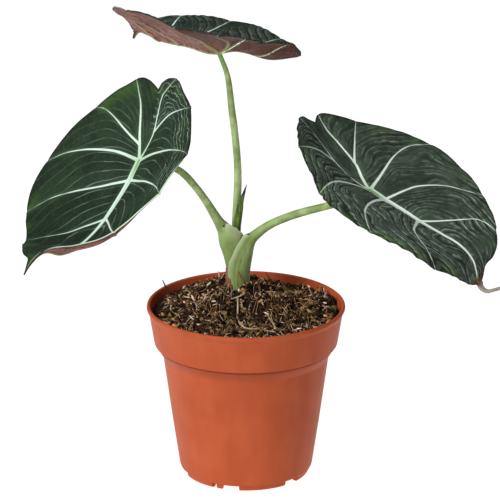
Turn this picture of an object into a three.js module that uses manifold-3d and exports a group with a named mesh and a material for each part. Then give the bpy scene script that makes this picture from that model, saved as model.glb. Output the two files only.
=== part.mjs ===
// A dwarf velvet-leaved alocasia in its nursery pot: three cupped shield leaves on sheathing petioles, a
// rolled new leaf, and the short rhizome with its roots in a mound of bark soil. Millimetres, +Z up, and the
// origin is the centre of the pot's foot pad, on the surface that the pot stands on. A row of numbers is
// [x, y, z, ...].
import * as THREE from "three";
import { mergeVertices } from "three/addons/utils/BufferGeometryUtils.js";
import Module from "manifold-3d";

// ---------------------------------------------------------------- driving dimensions
const GAP = 0.3; // left between two pieces that touch

const POT = {
  height: 95.8,
  wall: 1.5,
  footRadius: 34.2, // the ring that it stands on
  baseRadius: 35.6, // where the straight taper starts, just above the ring
  waistRadius: 45.4, // under the collar
  waistHeight: 66,
  collarRadius: 49.8, // at the collar's lower edge
  collarHeight: 73.5,
  lipRadius: 54,
  lipHeight: 4,
  footHeight: 4, // from the surface up to the floor's underside
  padRadius: 13, // the flat pad in the middle of the floor
  sides: 48,
};
const FOOT_NOTCH = { count: 6, width: 9.5, height: 2.8, firstAngle: -104 };
const DRAIN_HOLE = { count: 6, radius: 3.4, pitchRadius: 21.5, sides: 10 };

const SOIL = { edgeHeight: 89.5, moundHeight: 15.5, moundRadius: 26, lump: 1.2, sides: 40, rings: 9 };
const STEM = { x: -4, y: 11 }; // where the petioles stand on the rhizome

const BLADE = { thickness: 0.9, edgeThickness: 0.6, quilt: 1.5, midribHeight: 1.3, ribHeight: 0.9 };
const CREASE = 2; // how softly the two halves of a blade fold at the midrib
const QUILT_WIDTH = 18; // strips between ribs that are narrower than this swell less
const PETIOLE_SIDES = 10;

const COLOURS = {
  terracotta: 0xc0673f,
  soil: 0x2e2219,
  rhizome: 0x9a7a56,
  petiole: 0xa2b684,
  darkLeaf: 0x26372a,
  newLeaf: 0x506028,
};

// ---------------------------------------------------------------- the leaves
// A blade is drawn flat first. u runs from the petiole (0) to the tip and v from the midrib to the margin. A
// margin runs from the notch between the lobes to the tip. Ribs: one into the lobe, its branch, then those of
// the side, which all start on the midrib. Then the blade is bent: heading, pitch and roll place it, in
// degrees, lobeRise bends it up behind the petiole per 100 mm, each of bends is [from u, degrees up per 100
// mm] along the midrib, the folds lift each half, the curls bend each half up per 50 mm, and twist and fan
// turn and close the two halves per 100 mm towards the tip. Each of bulges is [u, v, radius, height].
const LEAVES = {
  leaf_left: {
    at: [-57, -14, 182],
    heading: 235,
    pitch: -49,
    roll: 17,
    bends: [[0, 53], [47, 115], [87, -259]],
    lobeRise: 70,
    foldLeft: 15,
    foldRight: 18,
    curlLeft: 2,
    curlRight: -10,
    twist: 2,
    fan: 0,
    bulges: [[36, 38, 13, -1.6], [54, 28, 14, -3.4], [70, 16, 13, -4], [84, 6, 9, -2]],
    left: {
      margin: [[-40, 0], [-45, 4], [-49, 13], [-50, 25], [-45, 34], [-37, 44], [-20, 54], [-4, 59], [14, 57],
        [30, 53], [45, 47], [58, 37.5], [70, 26.3], [80, 16.5], [88, 9], [96, 4.5], [104, 2.5], [110, 1],
        [115, 0]],
      lobeRib: [[0, 0], [-14, 4.5], [-27, 3.8], [-37, 5], [-44, 12], [-48, 20]],
      branchRib: [[-17, 4.6], [-27, 17], [-32.5, 31], [-36, 44]],
      sideRibs: [
        [[0, 0], [-2.5, 9], [-4, 20], [-4.5, 35], [-2, 50], [2, 58]],
        [[12, 0], [14, 10], [17, 23], [24, 38], [36, 52]],
        [[39, 0], [45, 8], [53, 16], [62, 25], [71, 33]],
      ],
    },
    right: {
      margin: [[-40, 0], [-44, 8], [-44, 14], [-39, 21], [-34, 28], [-23, 40], [-9, 52], [9, 60], [24, 60],
        [38, 55], [50, 46.9], [61, 37.6], [72, 29.7], [86, 21], [97.7, 12.5], [102, 8.7], [104.7, 3.7],
        [110, 1.2], [115, 0]],
      lobeRib: [[0, 0], [-9, 4], [-17, 7], [-30, 10.5], [-36, 13], [-43, 16]],
      branchRib: [[-9, 4], [-14, 14], [-21.5, 27], [-24, 34], [-24, 40]],
      sideRibs: [
        [[0, 0], [-1, 5], [-2.5, 18], [-0.5, 36], [3.5, 50], [9, 60]],
        [[12, 0], [16, 9], [20, 17.5], [25.5, 31], [32, 43], [42, 52]],
        [[39, 0], [47.5, 9], [55, 15.5], [62.5, 25], [70, 31]],
      ],
    },
  },
  leaf_right: {
    at: [66, -22, 168],
    heading: 322,
    pitch: -19,
    roll: -6,
    bends: [[0, 7], [56, -160], [66, -370], [79, 0], [84.5, 950]],
    lobeRise: 86,
    foldLeft: 16,
    foldRight: 14,
    curlLeft: 2,
    curlRight: -7,
    twist: 7,
    fan: 0,
    bulges: [],
    left: {
      margin: [[-49, 0], [-52, 4], [-52, 9], [-47, 19], [-41, 28], [-32, 40], [-20, 51], [-5, 57], [8, 56],
        [21.8, 51.5], [32.8, 48.3], [46.5, 40.6], [58.8, 31.8], [66, 24.8], [71.2, 19.3], [75.3, 12.9],
        [76.7, 8.6], [78.7, 5.4], [81.1, 3.2], [84.2, 2], [91, 0.8], [99, 0]],
      lobeRib: [[0, 0], [-10, 5], [-20, 9.5], [-34, 9], [-43, 6.5], [-51, 5.5]],
      branchRib: [[-20, 9.5], [-31, 19.5], [-41, 28]],
      sideRibs: [
        [[0, 0], [-5, 15.5], [-11.5, 33.5], [-12, 47], [-5, 57]],
        [[10, 0], [12, 14], [15, 24], [24, 34], [36, 39], [46, 43]],
        [[34, 0], [40.8, 7.5], [49.2, 17.5], [54.5, 23], [60.3, 24.5], [67, 24]],
      ],
    },
    right: {
      margin: [[-49, 0], [-52, 7], [-55, 15], [-54, 24], [-50, 31], [-38, 37], [-25, 42], [-9, 49], [2, 55],
        [12, 61], [28, 61], [39.2, 57.3], [53.2, 54], [66, 48.5], [70.9, 40.4], [73.6, 32.4], [76.6, 24.3],
        [80.5, 16.1], [84.3, 7.6], [86.6, 2], [91, 0.8], [99, 0]],
      lobeRib: [[0, 0], [-13, 3], [-25, 3.5], [-35, 4.5], [-45, 9], [-54, 19]],
      branchRib: [[-25, 3.5], [-32, 12], [-36, 24], [-38, 37]],
      sideRibs: [
        [[0, 0], [-5.5, 11], [-8.5, 24], [-6, 38], [2, 55]],
        [[10, 0], [12, 14], [18.5, 32], [28, 45.5], [40, 56]],
        [[34, 0], [37, 7], [45, 21], [59, 31.5], [70, 41]],
      ],
    },
  },
  leaf_top: {
    at: [-14.2, 12, 233.8],
    heading: 125.6,
    pitch: -9.6,
    roll: -7.8,
    bends: [[0, 14.2], [73, -620]],
    lobeRise: 25.7,
    foldLeft: 41.4,
    foldRight: -5.2,
    curlLeft: -0.7,
    curlRight: -15.9,
    twist: -11.2,
    fan: 15.5,
    bulges: [[-22, 8, 15, 2.5], [32, 44, 15, -2.4], [50, 26, 15, 1.6], [68, 16, 15, 0.8], [30, 6, 15, 1.7],
      [-26, 44, 17, -2.6], [6, 56, 15, -0.8], [68, -15, 12, 2.4],
      [60, 4, 15, -0.4], [-12, -3, 15, 2.2], [-30, -14, 15, -6.2], [-40, 6, 15, 5.6], [-40, -18, 15, 5.7],
      [0, -28, 15, -3.3], [-24, -30, 15, -1.4]],
    left: {
      margin: [[-40, 0], [-45, 6], [-45, 16], [-35, 33.5], [-17, 50], [4, 59], [25, 58], [39.5, 50],
        [53, 39.5], [63.5, 27.5], [72.5, 14], [77, 5.6], [80, 2.2], [84, 0]],
      lobeRib: [[0, 0], [-12, 5], [-24, 9], [-34, 12], [-45, 16]],
      branchRib: [[-12, 5], [-22, 20], [-31, 37]],
      sideRibs: [
        [[0, 0], [5, 12], [11, 28], [17, 43], [23, 58]],
        [[38, 0], [40, 12], [44, 28], [48, 44]],
        [[56, 0], [61, 8], [67, 21]],
      ],
    },
    right: {
      margin: [[-40, 0], [-45, 5], [-45, 14], [-35, 27], [-17, 41.5], [4, 49], [25, 48], [39.5, 41.5],
        [53, 33], [63.5, 23], [72.5, 12.4], [77, 5.2], [80, 2], [84, 0]],
      lobeRib: [[0, 0], [-12, 4.5], [-24, 7.5], [-34, 10], [-45, 13]],
      branchRib: [[-12, 4.5], [-22, 16.5], [-30, 31]],
      sideRibs: [
        [[0, 0], [4, 13], [8, 27], [12, 49]],
        [[38, 0], [38, 13], [40, 25], [44, 39]],
        [[56, 0], [59, 9], [65, 21]],
      ],
    },
  },
};

// Where the ribs and the strips between them are sampled: a narrow flank beside each rib, then the swell.
const ACROSS = [0, 0.1, 0.5, 0.9, 1];
const ACROSS_TIP = [0, 0.06, 0.18, 0.3, 0.42, 0.52, 0.61, 0.69, 0.76, 0.83, 0.9, 0.95, 1];
const ALONG = [0, 0.08, 0.2, 0.36, 0.52, 0.68, 0.84, 1];
const FORK_SHARE = 0.35; // of the samples' run along the lobe's rib, up to where it branches

// ---------------------------------------------------------------- petioles, new leaf and roots
// A section is [x, y, z, half width, half depth]. The last ones before a blade are worked out from the blade.
const PETIOLES = {
  petiole_top: {
    leaf: "leaf_top",
    endRadius: 1.25,
    sections: [[-5.4, 15, 96, 2.6, 2.6], [-5.6, 16, 114.5, 2.7, 2.7], [-5.4, 16, 136, 2.3, 2.3],
      [-4.4, 16, 161.2, 2.1, 2.1], [-4.7, 16, 172.6, 2, 2], [-6.2, 15.6, 189.8, 1.95, 1.95],
      [-7.6, 15, 201.3, 1.9, 1.9], [-10, 13.6, 221.4, 1.5, 1.5]],
  },
  petiole_left: {
    leaf: "leaf_left",
    endRadius: 1.8,
    sections: [[-5.6, 12.5, 96, 4.6, 4.6], [-5.8, 12.5, 103, 4.5, 4.7], [-6, 12.5, 109.6, 4.4, 4.8],
      [-7.8, 12.3, 120.1, 4.6, 5], [-8.7, 12, 127.2, 5.9, 5.2], [-9.6, 11.8, 132.8, 5.8, 5],
      [-15.4, 10, 139.7, 2.7, 2.7], [-22.2, 7.5, 153, 2.1, 2.1], [-27.1, 5, 160.8, 2, 2],
      [-32.5, 1.5, 168.5, 2, 2], [-36.9, -1.5, 173, 1.9, 1.9], [-44, -6, 176.8, 1.8, 1.8],
      [-51, -10, 178.6, 1.8, 1.8]],
  },
  petiole_right: {
    leaf: "leaf_right",
    endRadius: 1.9,
    sections: [[-3.8, 9.8, 96, 5.6, 5.6], [-3.8, 9.4, 102, 6, 6], [-3.8, 9, 110.8, 6.1, 6.2],
      [-1.1, 8.4, 121.4, 4.9, 5], [2.2, 7, 129.7, 3.4, 3.4], [6.3, 5.2, 134.5, 2.7, 2.6],
      [13.1, 1.5, 140.7, 2.3, 2.3], [21.2, -3, 146, 2.2, 2.2], [29.4, -7, 150.3, 2.2, 2.2],
      [43.5, -13, 156.2, 2, 2], [55.8, -18, 161.2, 1.9, 1.9]],
  },
};
const NEW_LEAF = [[-5, 10.4, 126, 1.2, 1.2], [-4.7, 10.6, 137.3, 1.4, 1.4], [-3.5, 11, 145.7, 1.4, 1.4],
  [-2.3, 11.2, 151.4, 1.1, 1.1], [-1, 11.5, 155.6, 0.7, 0.7], [0.4, 12, 160, 0.3, 0.3]];
const RHIZOME = [[-4, 11, 62, 2.2, 2.2], [-4, 11, 69, 5, 5], [-4, 11, 81, 6.4, 6.4], [-4, 11, 92, 6.8, 6.6],
  [-4, 11, 95.7, 6, 5.8]];
// Each root is [x, y, rise above the soil, radius] from where it leaves the rhizome.
const ROOTS = [
  [[-3, 6, -11, 1.1], [-1, 2, -5, 1.1], [-0.8, -2, -0.6, 0.95], [-3.6, -5, 0.4, 0.8], [-8.2, -7, 0.2, 0.5]],
  [[-5, 6, -12, 0.9], [-4.6, 1, -6, 0.9], [-4.4, -5, -0.6, 0.85], [-4.4, -14, 0.3, 0.8],
    [-4.2, -22, 0.3, 0.75], [0, -28, 0.2, 0.7], [7, -30.5, 0.2, 0.6], [16, -32, 0, 0.5]],
  [[1, 9, -11, 0.9], [5, 6.5, -5, 0.9], [7.4, 1.6, -0.2, 0.8], [8.6, -6, 0.2, 0.7], [12, -16, 0.1, 0.6],
    [16, -25, 0, 0.5]],
];
const ROOT_SIDES = 6;

// ---------------------------------------------------------------- small helpers
const radians = THREE.MathUtils.degToRad;
const lerp = THREE.MathUtils.lerp;
const wasm = await Module();
wasm.setup();

// A closed geometry as a manifold-3d solid, and back.
function solidFrom(geometry) {
  const bare = geometry.clone();
  for (const name of ["normal", "uv"]) bare.deleteAttribute(name);
  const merged = mergeVertices(bare, 1e-4);
  return new wasm.Manifold(
    new wasm.Mesh({
      numProp: 3,
      vertProperties: merged.attributes.position.array,
      triVerts: new Uint32Array(merged.index.array),
    }),
  );
}

function geometryFrom(solid) {
  const mesh = solid.getMesh();
  const geometry = new THREE.BufferGeometry();
  geometry.setAttribute("position", new THREE.BufferAttribute(mesh.vertProperties, 3));
  geometry.setIndex(new THREE.BufferAttribute(mesh.triVerts, 1));
  return geometry;
}

// A geometry from points and faces, where faces that have shrunk to a line are left out.
function geometryOf(points, faces) {
  const geometry = new THREE.BufferGeometry();
  geometry.setFromPoints(points);
  geometry.setIndex(faces.filter(([a, b, c]) => a !== b && b !== c && a !== c).flat());
  return geometry;
}

function ring(count, pointAt) {
  return Array.from({ length: count }, (_, i) => pointAt((2 * Math.PI * i) / count));
}

// Closes a stack of rings, each with as many points, by quads between them and a fan at each end.
function stackGeometry(rings) {
  const sides = rings[0].length;
  const points = rings.flat();
  const faces = [];
  for (let r = 0; r + 1 < rings.length; r++)
    for (let i = 0; i < sides; i++) {
      const a = r * sides + i;
      const b = r * sides + ((i + 1) % sides);
      faces.push([a, b, b + sides], [a, b + sides, a + sides]);
    }
  const last = (rings.length - 1) * sides;
  const middle = (of) => of.reduce((sum, p) => sum.add(p), new THREE.Vector3()).divideScalar(of.length);
  points.push(middle(rings[0]), middle(rings.at(-1)));
  for (let i = 0; i < sides; i++) {
    const j = (i + 1) % sides;
    faces.push([points.length - 2, j, i], [points.length - 1, last + i, last + j]);
  }
  return geometryOf(points, faces);
}

// A stem with a section that changes along a smooth line. The wide axis of an oval one stays square to Y,
// while a round one just follows the line. extra widens and lengthens the stem, for the hole that it stands
// in, and seat is the plane of the blade that its upper end meets.
function stemGeometry(sections, { sides, steps, round = false, extra = 0, seat = null }) {
  const line = new THREE.CatmullRomCurve3(sections.map(([x, y, z]) => new THREE.Vector3(x, y, z)));
  const widths = new THREE.SplineCurve(sections.map((s) => new THREE.Vector2(s[3], s[4] ?? s[3])));
  const count = steps ?? 2 * (sections.length - 1);
  const frames = line.computeFrenetFrames(count);
  const rings = [];
  for (let k = 0; k <= count; k++) {
    const t = k / count;
    const centre = round ? line.getPointAt(t) : line.getPoint(t);
    const along = round ? frames.tangents[k] : line.getTangent(t);
    const size = widths.getPoint(t);
    const wide = round ? frames.normals[k] : along.clone().cross(new THREE.Vector3(0, 1, 0)).normalize();
    const deep = along.clone().cross(wide);
    if (k === 0) centre.addScaledVector(along, -extra);
    if (k === count) centre.addScaledVector(along, extra);
    const section = ring(sides, (angle) =>
      centre
        .clone()
        .addScaledVector(wide, (size.x + extra) * Math.cos(angle))
        .addScaledVector(deep, (size.y + extra) * Math.sin(angle)),
    );
    if (seat && k === count)
      for (const p of section) {
        const above = p.clone().sub(centre).dot(seat) / along.dot(seat);
        p.addScaledVector(along, -above);
      }
    rings.push(section);
  }
  return stackGeometry(rings);
}

// ---------------------------------------------------------------- pot
function potRadius(z) {
  const t = z / POT.waistHeight;
  return lerp(POT.baseRadius, POT.waistRadius, t);
}

// The outer line from the foot up to the lip, and the inner line from the lip down to the floor.
function potProfile() {
  const floor = POT.footHeight + POT.wall;
  const inside = (z) => potRadius(z) - POT.wall;
  const lip = POT.height - POT.lipHeight;
  const points = [
    [POT.padRadius, 0],
    [POT.padRadius + 0.8, POT.footHeight],
    [POT.footRadius - 3.4, POT.footHeight],
    [POT.footRadius - 3, 0],
    [POT.footRadius - 0.6, 0],
    [POT.footRadius + 0.6, 0.9],
    [potRadius(4), 4],
    [potRadius(30), 30],
    [POT.waistRadius, POT.waistHeight],
    [POT.waistRadius + 1.1, POT.waistHeight + 2.7],
    [POT.waistRadius + 3.1, POT.waistHeight + 4.8],
    [POT.collarRadius, POT.collarHeight],
    [POT.lipRadius - 1.8, lip - 1.6],
    [POT.lipRadius - 0.8, lip - 0.2],
    [POT.lipRadius, lip + 1.8],
    [POT.lipRadius - 0.4, POT.height - 0.5],
    [POT.lipRadius - 1.2, POT.height],
    [POT.lipRadius - 2, POT.height - 0.6],
    [POT.lipRadius - 1.8 - POT.wall, lip - 2.4],
    [POT.collarRadius - POT.wall, POT.collarHeight],
    [POT.collarRadius - POT.wall - 0.8, POT.collarHeight - 2.2],
    [POT.waistRadius - 0.4, POT.waistHeight + 3],
    [inside(POT.waistHeight), POT.waistHeight - 1],
    [inside(30), 30],
    [inside(floor + 3), floor + 3],
    [inside(floor) - 2.5, floor],
  ];
  return points.map(([r, z]) => new THREE.Vector2(r, z));
}

function potSolid() {
  const axis = [new THREE.Vector2(0, POT.footHeight + POT.wall), new THREE.Vector2(0, 0)];
  const lathe = new THREE.LatheGeometry([axis[1], ...potProfile(), axis[0]], POT.sides);
  lathe.rotateX(Math.PI / 2);
  let solid = solidFrom(lathe);
  for (let k = 0; k < FOOT_NOTCH.count; k++) {
    const angle = radians(FOOT_NOTCH.firstAngle + (360 / FOOT_NOTCH.count) * k);
    const notch = new THREE.BoxGeometry(8, FOOT_NOTCH.width, 2 * FOOT_NOTCH.height);
    notch.translate(POT.footRadius, 0, 0).rotateZ(angle);
    solid = solid.subtract(solidFrom(notch));
  }
  for (let k = 0; k < DRAIN_HOLE.count; k++) {
    const angle = radians((360 / DRAIN_HOLE.count) * (k + 0.5));
    const hole = new THREE.CylinderGeometry(DRAIN_HOLE.radius, DRAIN_HOLE.radius, 12, DRAIN_HOLE.sides);
    hole.rotateX(Math.PI / 2).translate(DRAIN_HOLE.pitchRadius, 0, POT.footHeight).rotateZ(angle);
    solid = solid.subtract(solidFrom(hole));
  }
  return solid;
}

// ---------------------------------------------------------------- soil
// The mound round the stem, with lumps from a few crossed waves.
function soilHeight(x, y) {
  const away = Math.hypot(x - STEM.x, y - STEM.y) / SOIL.moundRadius;
  const crossed = Math.sin(0.31 * x + 1.3) * Math.cos(0.27 * y - 0.4);
  const lumps = crossed + 0.6 * Math.sin(0.53 * x - 0.47 * y + 2.1);
  const out = Math.hypot(x, y) / POT.collarRadius;
  const mound = SOIL.moundHeight * Math.exp(-away * away);
  return SOIL.edgeHeight + mound + SOIL.lump * lumps * (1 - 0.5 * out * out);
}

function soilSolid() {
  const floor = POT.footHeight + POT.wall;
  const side = [
    [potRadius(floor) - POT.wall - 3.2, floor + GAP],
    [potRadius(floor + 3) - POT.wall - 0.6, floor + 3.6],
    [potRadius(30) - POT.wall - GAP, 30],
    [POT.waistRadius - POT.wall - GAP, POT.waistHeight - 1],
    [POT.waistRadius - 0.6 - GAP, POT.waistHeight + 3.6],
    [POT.collarRadius - POT.wall - 1.4, POT.collarHeight - 1.6],
  ];
  const around = (r, z) => ring(SOIL.sides, (a) => new THREE.Vector3(r * Math.cos(a), r * Math.sin(a), z));
  const rings = side.map(([r, z]) => around(r, z));
  const rim = POT.collarRadius - POT.wall + 0.9;
  for (let k = 0; k < SOIL.rings; k++) {
    const r = rim * (1 - k / SOIL.rings);
    rings.push(
      ring(SOIL.sides, (a) => {
        const x = r * Math.cos(a);
        const y = r * Math.sin(a);
        return new THREE.Vector3(x, y, soilHeight(x, y));
      }),
    );
  }
  return solidFrom(stackGeometry(rings));
}

// ---------------------------------------------------------------- blades
// Along an arc that starts at a slope and bends by so much per millimetre: its run and its rise.
function arc(slope, bend, length) {
  if (Math.abs(bend) < 1e-6) return [Math.cos(slope) * length, Math.sin(slope) * length];
  const end = slope + bend * length;
  return [(Math.sin(end) - Math.sin(slope)) / bend, (Math.cos(slope) - Math.cos(end)) / bend];
}

// The middle line of a blade at u: along, up, and its slope there.
function midline(leaf, u) {
  const bends = u > 0 ? leaf.bends : [[0, leaf.lobeRise]];
  let [along, up, slope] = [0, 0, 0];
  bends.forEach(([from, degrees], k) => {
    const run = Math.min(u, bends[k + 1]?.[0] ?? u) - from;
    if (run <= 0 && k > 0) return;
    const bend = radians(degrees) / 100;
    const [further, higher] = arc(slope, bend, run);
    along += further;
    up += higher;
    slope += bend * run;
  });
  return [along, up, slope];
}

// The bent sheet without thickness. v is positive on the left half, seen from above towards the tip.
function sheetPoint(leaf, u, v) {
  const [along, up, slope] = midline(leaf, u);
  const left = v >= 0;
  const out = Math.abs(v);
  const fold = radians((left ? leaf.foldLeft : leaf.foldRight) + (leaf.fan * u) / 100);
  const curl = radians(left ? leaf.curlLeft : leaf.curlRight) / 50;
  const crease = CREASE + Math.max(0, -0.2 * u); // softer behind the petiole, where there is no midrib
  const wider = ((crease - CREASE) * out * out) / (out * out + 4 * crease * crease);
  const soft = Math.hypot(out, crease) - crease + wider;
  const across = arc(fold, curl, out)[0] * (left ? 1 : -1);
  const lift = arc(fold, curl, soft)[1];
  const turn = radians(leaf.roll + (leaf.twist * u) / 100);
  const side = across * Math.cos(turn) - lift * Math.sin(turn);
  const rise = across * Math.sin(turn) + lift * Math.cos(turn);
  const point = new THREE.Vector3(along - rise * Math.sin(slope), side, up + rise * Math.cos(slope));
  point.applyAxisAngle(new THREE.Vector3(0, 1, 0), -radians(leaf.pitch));
  point.applyAxisAngle(new THREE.Vector3(0, 0, 1), radians(leaf.heading));
  return point.add(new THREE.Vector3(...leaf.at));
}

function sheetNormal(leaf, u, v) {
  const step = 0.5;
  const du = sheetPoint(leaf, u + step, v).sub(sheetPoint(leaf, u - step, v));
  const dv = sheetPoint(leaf, u, v + step).sub(sheetPoint(leaf, u, v - step));
  return du.cross(dv).normalize();
}

// Swells and dips of the whole sheet: [u, v, radius, height].
function bulge(leaf, u, v) {
  const one = ([bu, bv, r, h]) => h * Math.exp(-((u - bu) ** 2 + (v - bv) ** 2) / r ** 2);
  return leaf.bulges.reduce((sum, row) => sum + one(row), 0);
}

// Where a point lies along a margin, from 0 at the notch to 1 at the tip.
function placeOnMargin(margin, point) {
  let best = 0;
  for (let k = 0; k <= 400; k++)
    if (margin.getPoint(k / 400).distanceTo(point) < margin.getPoint(best).distanceTo(point)) best = k / 400;
  return best;
}

// One half of a blade as patches between neighbouring ribs. Each patch is a grid of {u, v, swell, rib}, where
// swell is the height of the quilting and rib that of a rib on the underside.
function halfPatches(leaf, half) {
  const flat = (pairs) => new THREE.SplineCurve(pairs.map(([u, v]) => new THREE.Vector2(u, v)));
  const margin = flat(half.margin);
  const tip = half.margin.at(-1)[0];
  const notch = half.margin[0][0];
  // Each rib's last point is moved onto the margin.
  const ribs = [half.lobeRib, half.branchRib, ...half.sideRibs].map((pairs) => {
    const end = placeOnMargin(margin, new THREE.Vector2(...pairs.at(-1)));
    const line = flat([...pairs.slice(0, -1), margin.getPoint(end).toArray()]);
    return { end, at: (t) => line.getPointAt(t), start: pairs[0][0] };
  });
  const [lobe, branch, ...sides] = ribs;
  let fork = 0;
  const forkPoint = new THREE.Vector2(...half.branchRib[0]);
  for (let k = 0; k <= 200; k++)
    if (lobe.at(k / 200).distanceTo(forkPoint) < lobe.at(fork).distanceTo(forkPoint)) fork = k / 200;
  const branchAt = (t) => (t === 0 ? lobe.at(fork) : branch.at(t));
  const lobeShare = (t) =>
    t < FORK_SHARE ? (fork * t) / FORK_SHARE : lerp(fork, 1, (t - FORK_SHARE) / (1 - FORK_SHARE));
  const spot = (u, v) => new THREE.Vector2(u, v);
  const along = (from, to) => (s) => spot(lerp(from, to, s), 0);
  const edge = (from, to) => (s) => margin.getPoint(lerp(from, to, s));
  const patches = [];

  // first and second are the ribs on its two sides, base and rim the lines that join their ends. A high
  // rimPull keeps the shape of the rim close to the margin.
  function patch({ first, second, base, rim, swell, ribs, across = ACROSS, downs = ALONG, rimPull = 1 }) {
    const [height1, height2, foot] = ribs;
    const grid = across.map((s) =>
      downs.map((t) => {
        const pull = (line, weight) => line(s).sub(line(0).lerp(line(1), s)).multiplyScalar(weight);
        const p = first(t).lerp(second(t), s).add(pull(base, 1 - t)).add(pull(rim, t ** rimPull));
        const taper = lerp(1, 0.35, t);
        let rib = 0;
        if (s === 0) rib = height1 * taper;
        if (s === 1) rib = height2 * taper;
        if (t === 0) rib = Math.max(rib, foot(s));
        const wide = Math.min(1, first(t).distanceTo(second(t)) / QUILT_WIDTH);
        return { u: p.x, v: p.y, swell: BLADE.quilt * wide * swell(s, t), rib };
      }),
    );
    patches.push(grid);
  }

  const rise = (t) => (1 - Math.exp(-7 * t)) * (1 - 0.35 * t);
  const pillow = (s, t) => Math.sin(Math.PI * s) * rise(t);
  const high = BLADE.ribHeight;
  const midrib = (from, to) => (s) => BLADE.midribHeight * lerp(1, 0.3, Math.max(0, lerp(from, to, s)) / tip);
  // between the notch and the rib of the lobe, which share the petiole's end
  patch({
    first: (t) => spot(notch * t, 0),
    second: (t) => lobe.at(lobeShare(t)),
    base: () => spot(0, 0),
    rim: edge(0, lobe.end),
    downs: [...ACROSS.slice(0, -1).map((s) => s * FORK_SHARE), ...ALONG.map((t) => lerp(FORK_SHARE, 1, t))],
    swell: () => 0,
    rimPull: 3,
    ribs: [0, high, midrib(0, 0)],
  });
  // between the rib of the lobe and its branch
  patch({
    first: (t) => lobe.at(lerp(fork, 1, t)),
    second: branchAt,
    base: () => lobe.at(fork),
    rim: edge(lobe.end, branch.end),
    swell: pillow,
    ribs: [high, high, () => high],
  });
  // between the branch and the first side rib
  patch({
    first: branchAt,
    second: sides[0].at,
    base: (s) => lobe.at(fork * (1 - s)),
    rim: edge(branch.end, sides[0].end),
    swell: pillow,
    ribs: [high, high, () => high],
  });
  // between two side ribs, with the midrib at their feet
  for (let k = 0; k + 1 < sides.length; k++)
    patch({
      first: sides[k].at,
      second: sides[k + 1].at,
      base: along(sides[k].start, sides[k + 1].start),
      rim: edge(sides[k].end, sides[k + 1].end),
      swell: pillow,
      ribs: [high, high, midrib(sides[k].start, sides[k + 1].start)],
    });
  // from the last side rib to the tip
  const last = sides.at(-1);
  patch({
    first: last.at,
    second: () => spot(tip, 0),
    base: along(last.start, tip),
    rim: edge(last.end, 1),
    across: ACROSS_TIP,
    swell: (s, t) => 0.7 * pillow(s, t) * (1 - s),
    ribs: [high, 0, midrib(last.start, tip)],
  });
  return patches;
}

// The blade as one closed solid: the same triangles above and below, joined round the margin.
function bladeGeometry(leaf) {
  const points = [];
  const known = new Map();
  const faces = [];
  const rims = [];
  for (const [half, side] of [[leaf.left, 1], [leaf.right, -1]]) {
    const vertex = ({ u, v, swell, rib }, onRim) => {
      const key = [u, v * side].map((n) => Math.round(n * 1000) + 0).join();
      if (known.has(key)) return known.get(key);
      const where = sheetPoint(leaf, u, v * side);
      const out = sheetNormal(leaf, u, v * side);
      const middle = swell + bulge(leaf, u, v * side);
      const thick = onRim ? BLADE.edgeThickness : BLADE.thickness;
      points.push(where.clone().addScaledVector(out, middle + thick / 2));
      points.push(where.clone().addScaledVector(out, middle - thick / 2 - (onRim ? 0.2 * rib : rib)));
      known.set(key, points.length - 2);
      return points.length - 2;
    };
    for (const grid of halfPatches(leaf, half)) {
      const last = grid[0].length - 1;
      const ids = grid.map((column) => column.map((p, k) => vertex(p, k === last)));
      for (let s = 0; s + 1 < ids.length; s++) {
        for (let t = 0; t < last; t++) {
          const [a, b, c, d] = [ids[s][t], ids[s + 1][t], ids[s + 1][t + 1], ids[s][t + 1]];
          for (const [p, q, r] of [[a, b, c], [a, c, d]]) {
            const [x, y, z] = side > 0 ? [p, q, r] : [p, r, q];
            faces.push([x, y, z], [x + 1, z + 1, y + 1]);
          }
        }
        const [m, n] = side > 0 ? [ids[s][last], ids[s + 1][last]] : [ids[s + 1][last], ids[s][last]];
        rims.push([m, n]);
      }
    }
  }
  for (const [m, n] of rims) if (m !== n) faces.push([m, n, n + 1], [m, n + 1, m + 1]);
  return geometryOf(points, faces);
}

// ---------------------------------------------------------------- petioles, new leaf, rhizome and roots
// The sections of a petiole with its last bend, up to just under the blade's midrib.
function petioleSections({ leaf: name, endRadius, sections }) {
  const leaf = LEAVES[name];
  const up = sheetNormal(leaf, 0, 0);
  const under = sheetPoint(leaf, 0, 0).addScaledVector(up, bulge(leaf, 0, 0));
  const clearance = BLADE.thickness / 2 + BLADE.midribHeight + GAP + 0.1;
  const end = under.clone().addScaledVector(up, -clearance);
  return { up, all: [...sections, [...end.toArray(), endRadius, endRadius]] };
}

function petioleSolid(name, extra = 0) {
  const { up, all } = petioleSections(PETIOLES[name]);
  const seat = extra ? null : up;
  return solidFrom(stemGeometry(all, { sides: PETIOLE_SIDES, extra, seat }));
}

function rhizomeSolid(extra = 0) {
  let solid = solidFrom(stemGeometry(RHIZOME, { sides: PETIOLE_SIDES, extra }));
  for (const root of ROOTS) {
    const sections = root.map(([x, y, rise, radius]) => [x, y, soilHeight(x, y) + rise, radius, radius]);
    const shape = { sides: ROOT_SIDES, steps: 2 * root.length, round: true, extra };
    solid = solid.add(solidFrom(stemGeometry(sections, shape)));
  }
  return solid;
}

// ---------------------------------------------------------------- the plant and its pot
const group = new THREE.Group();

function addPiece(name, geometry, colour, roughness, metalness = 0) {
  const material = new THREE.MeshStandardMaterial({ color: colour, roughness, metalness });
  const mesh = new THREE.Mesh(geometry, material);
  mesh.name = name;
  group.add(mesh);
}

addPiece("pot", geometryFrom(potSolid()), COLOURS.terracotta, 0.45);

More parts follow.
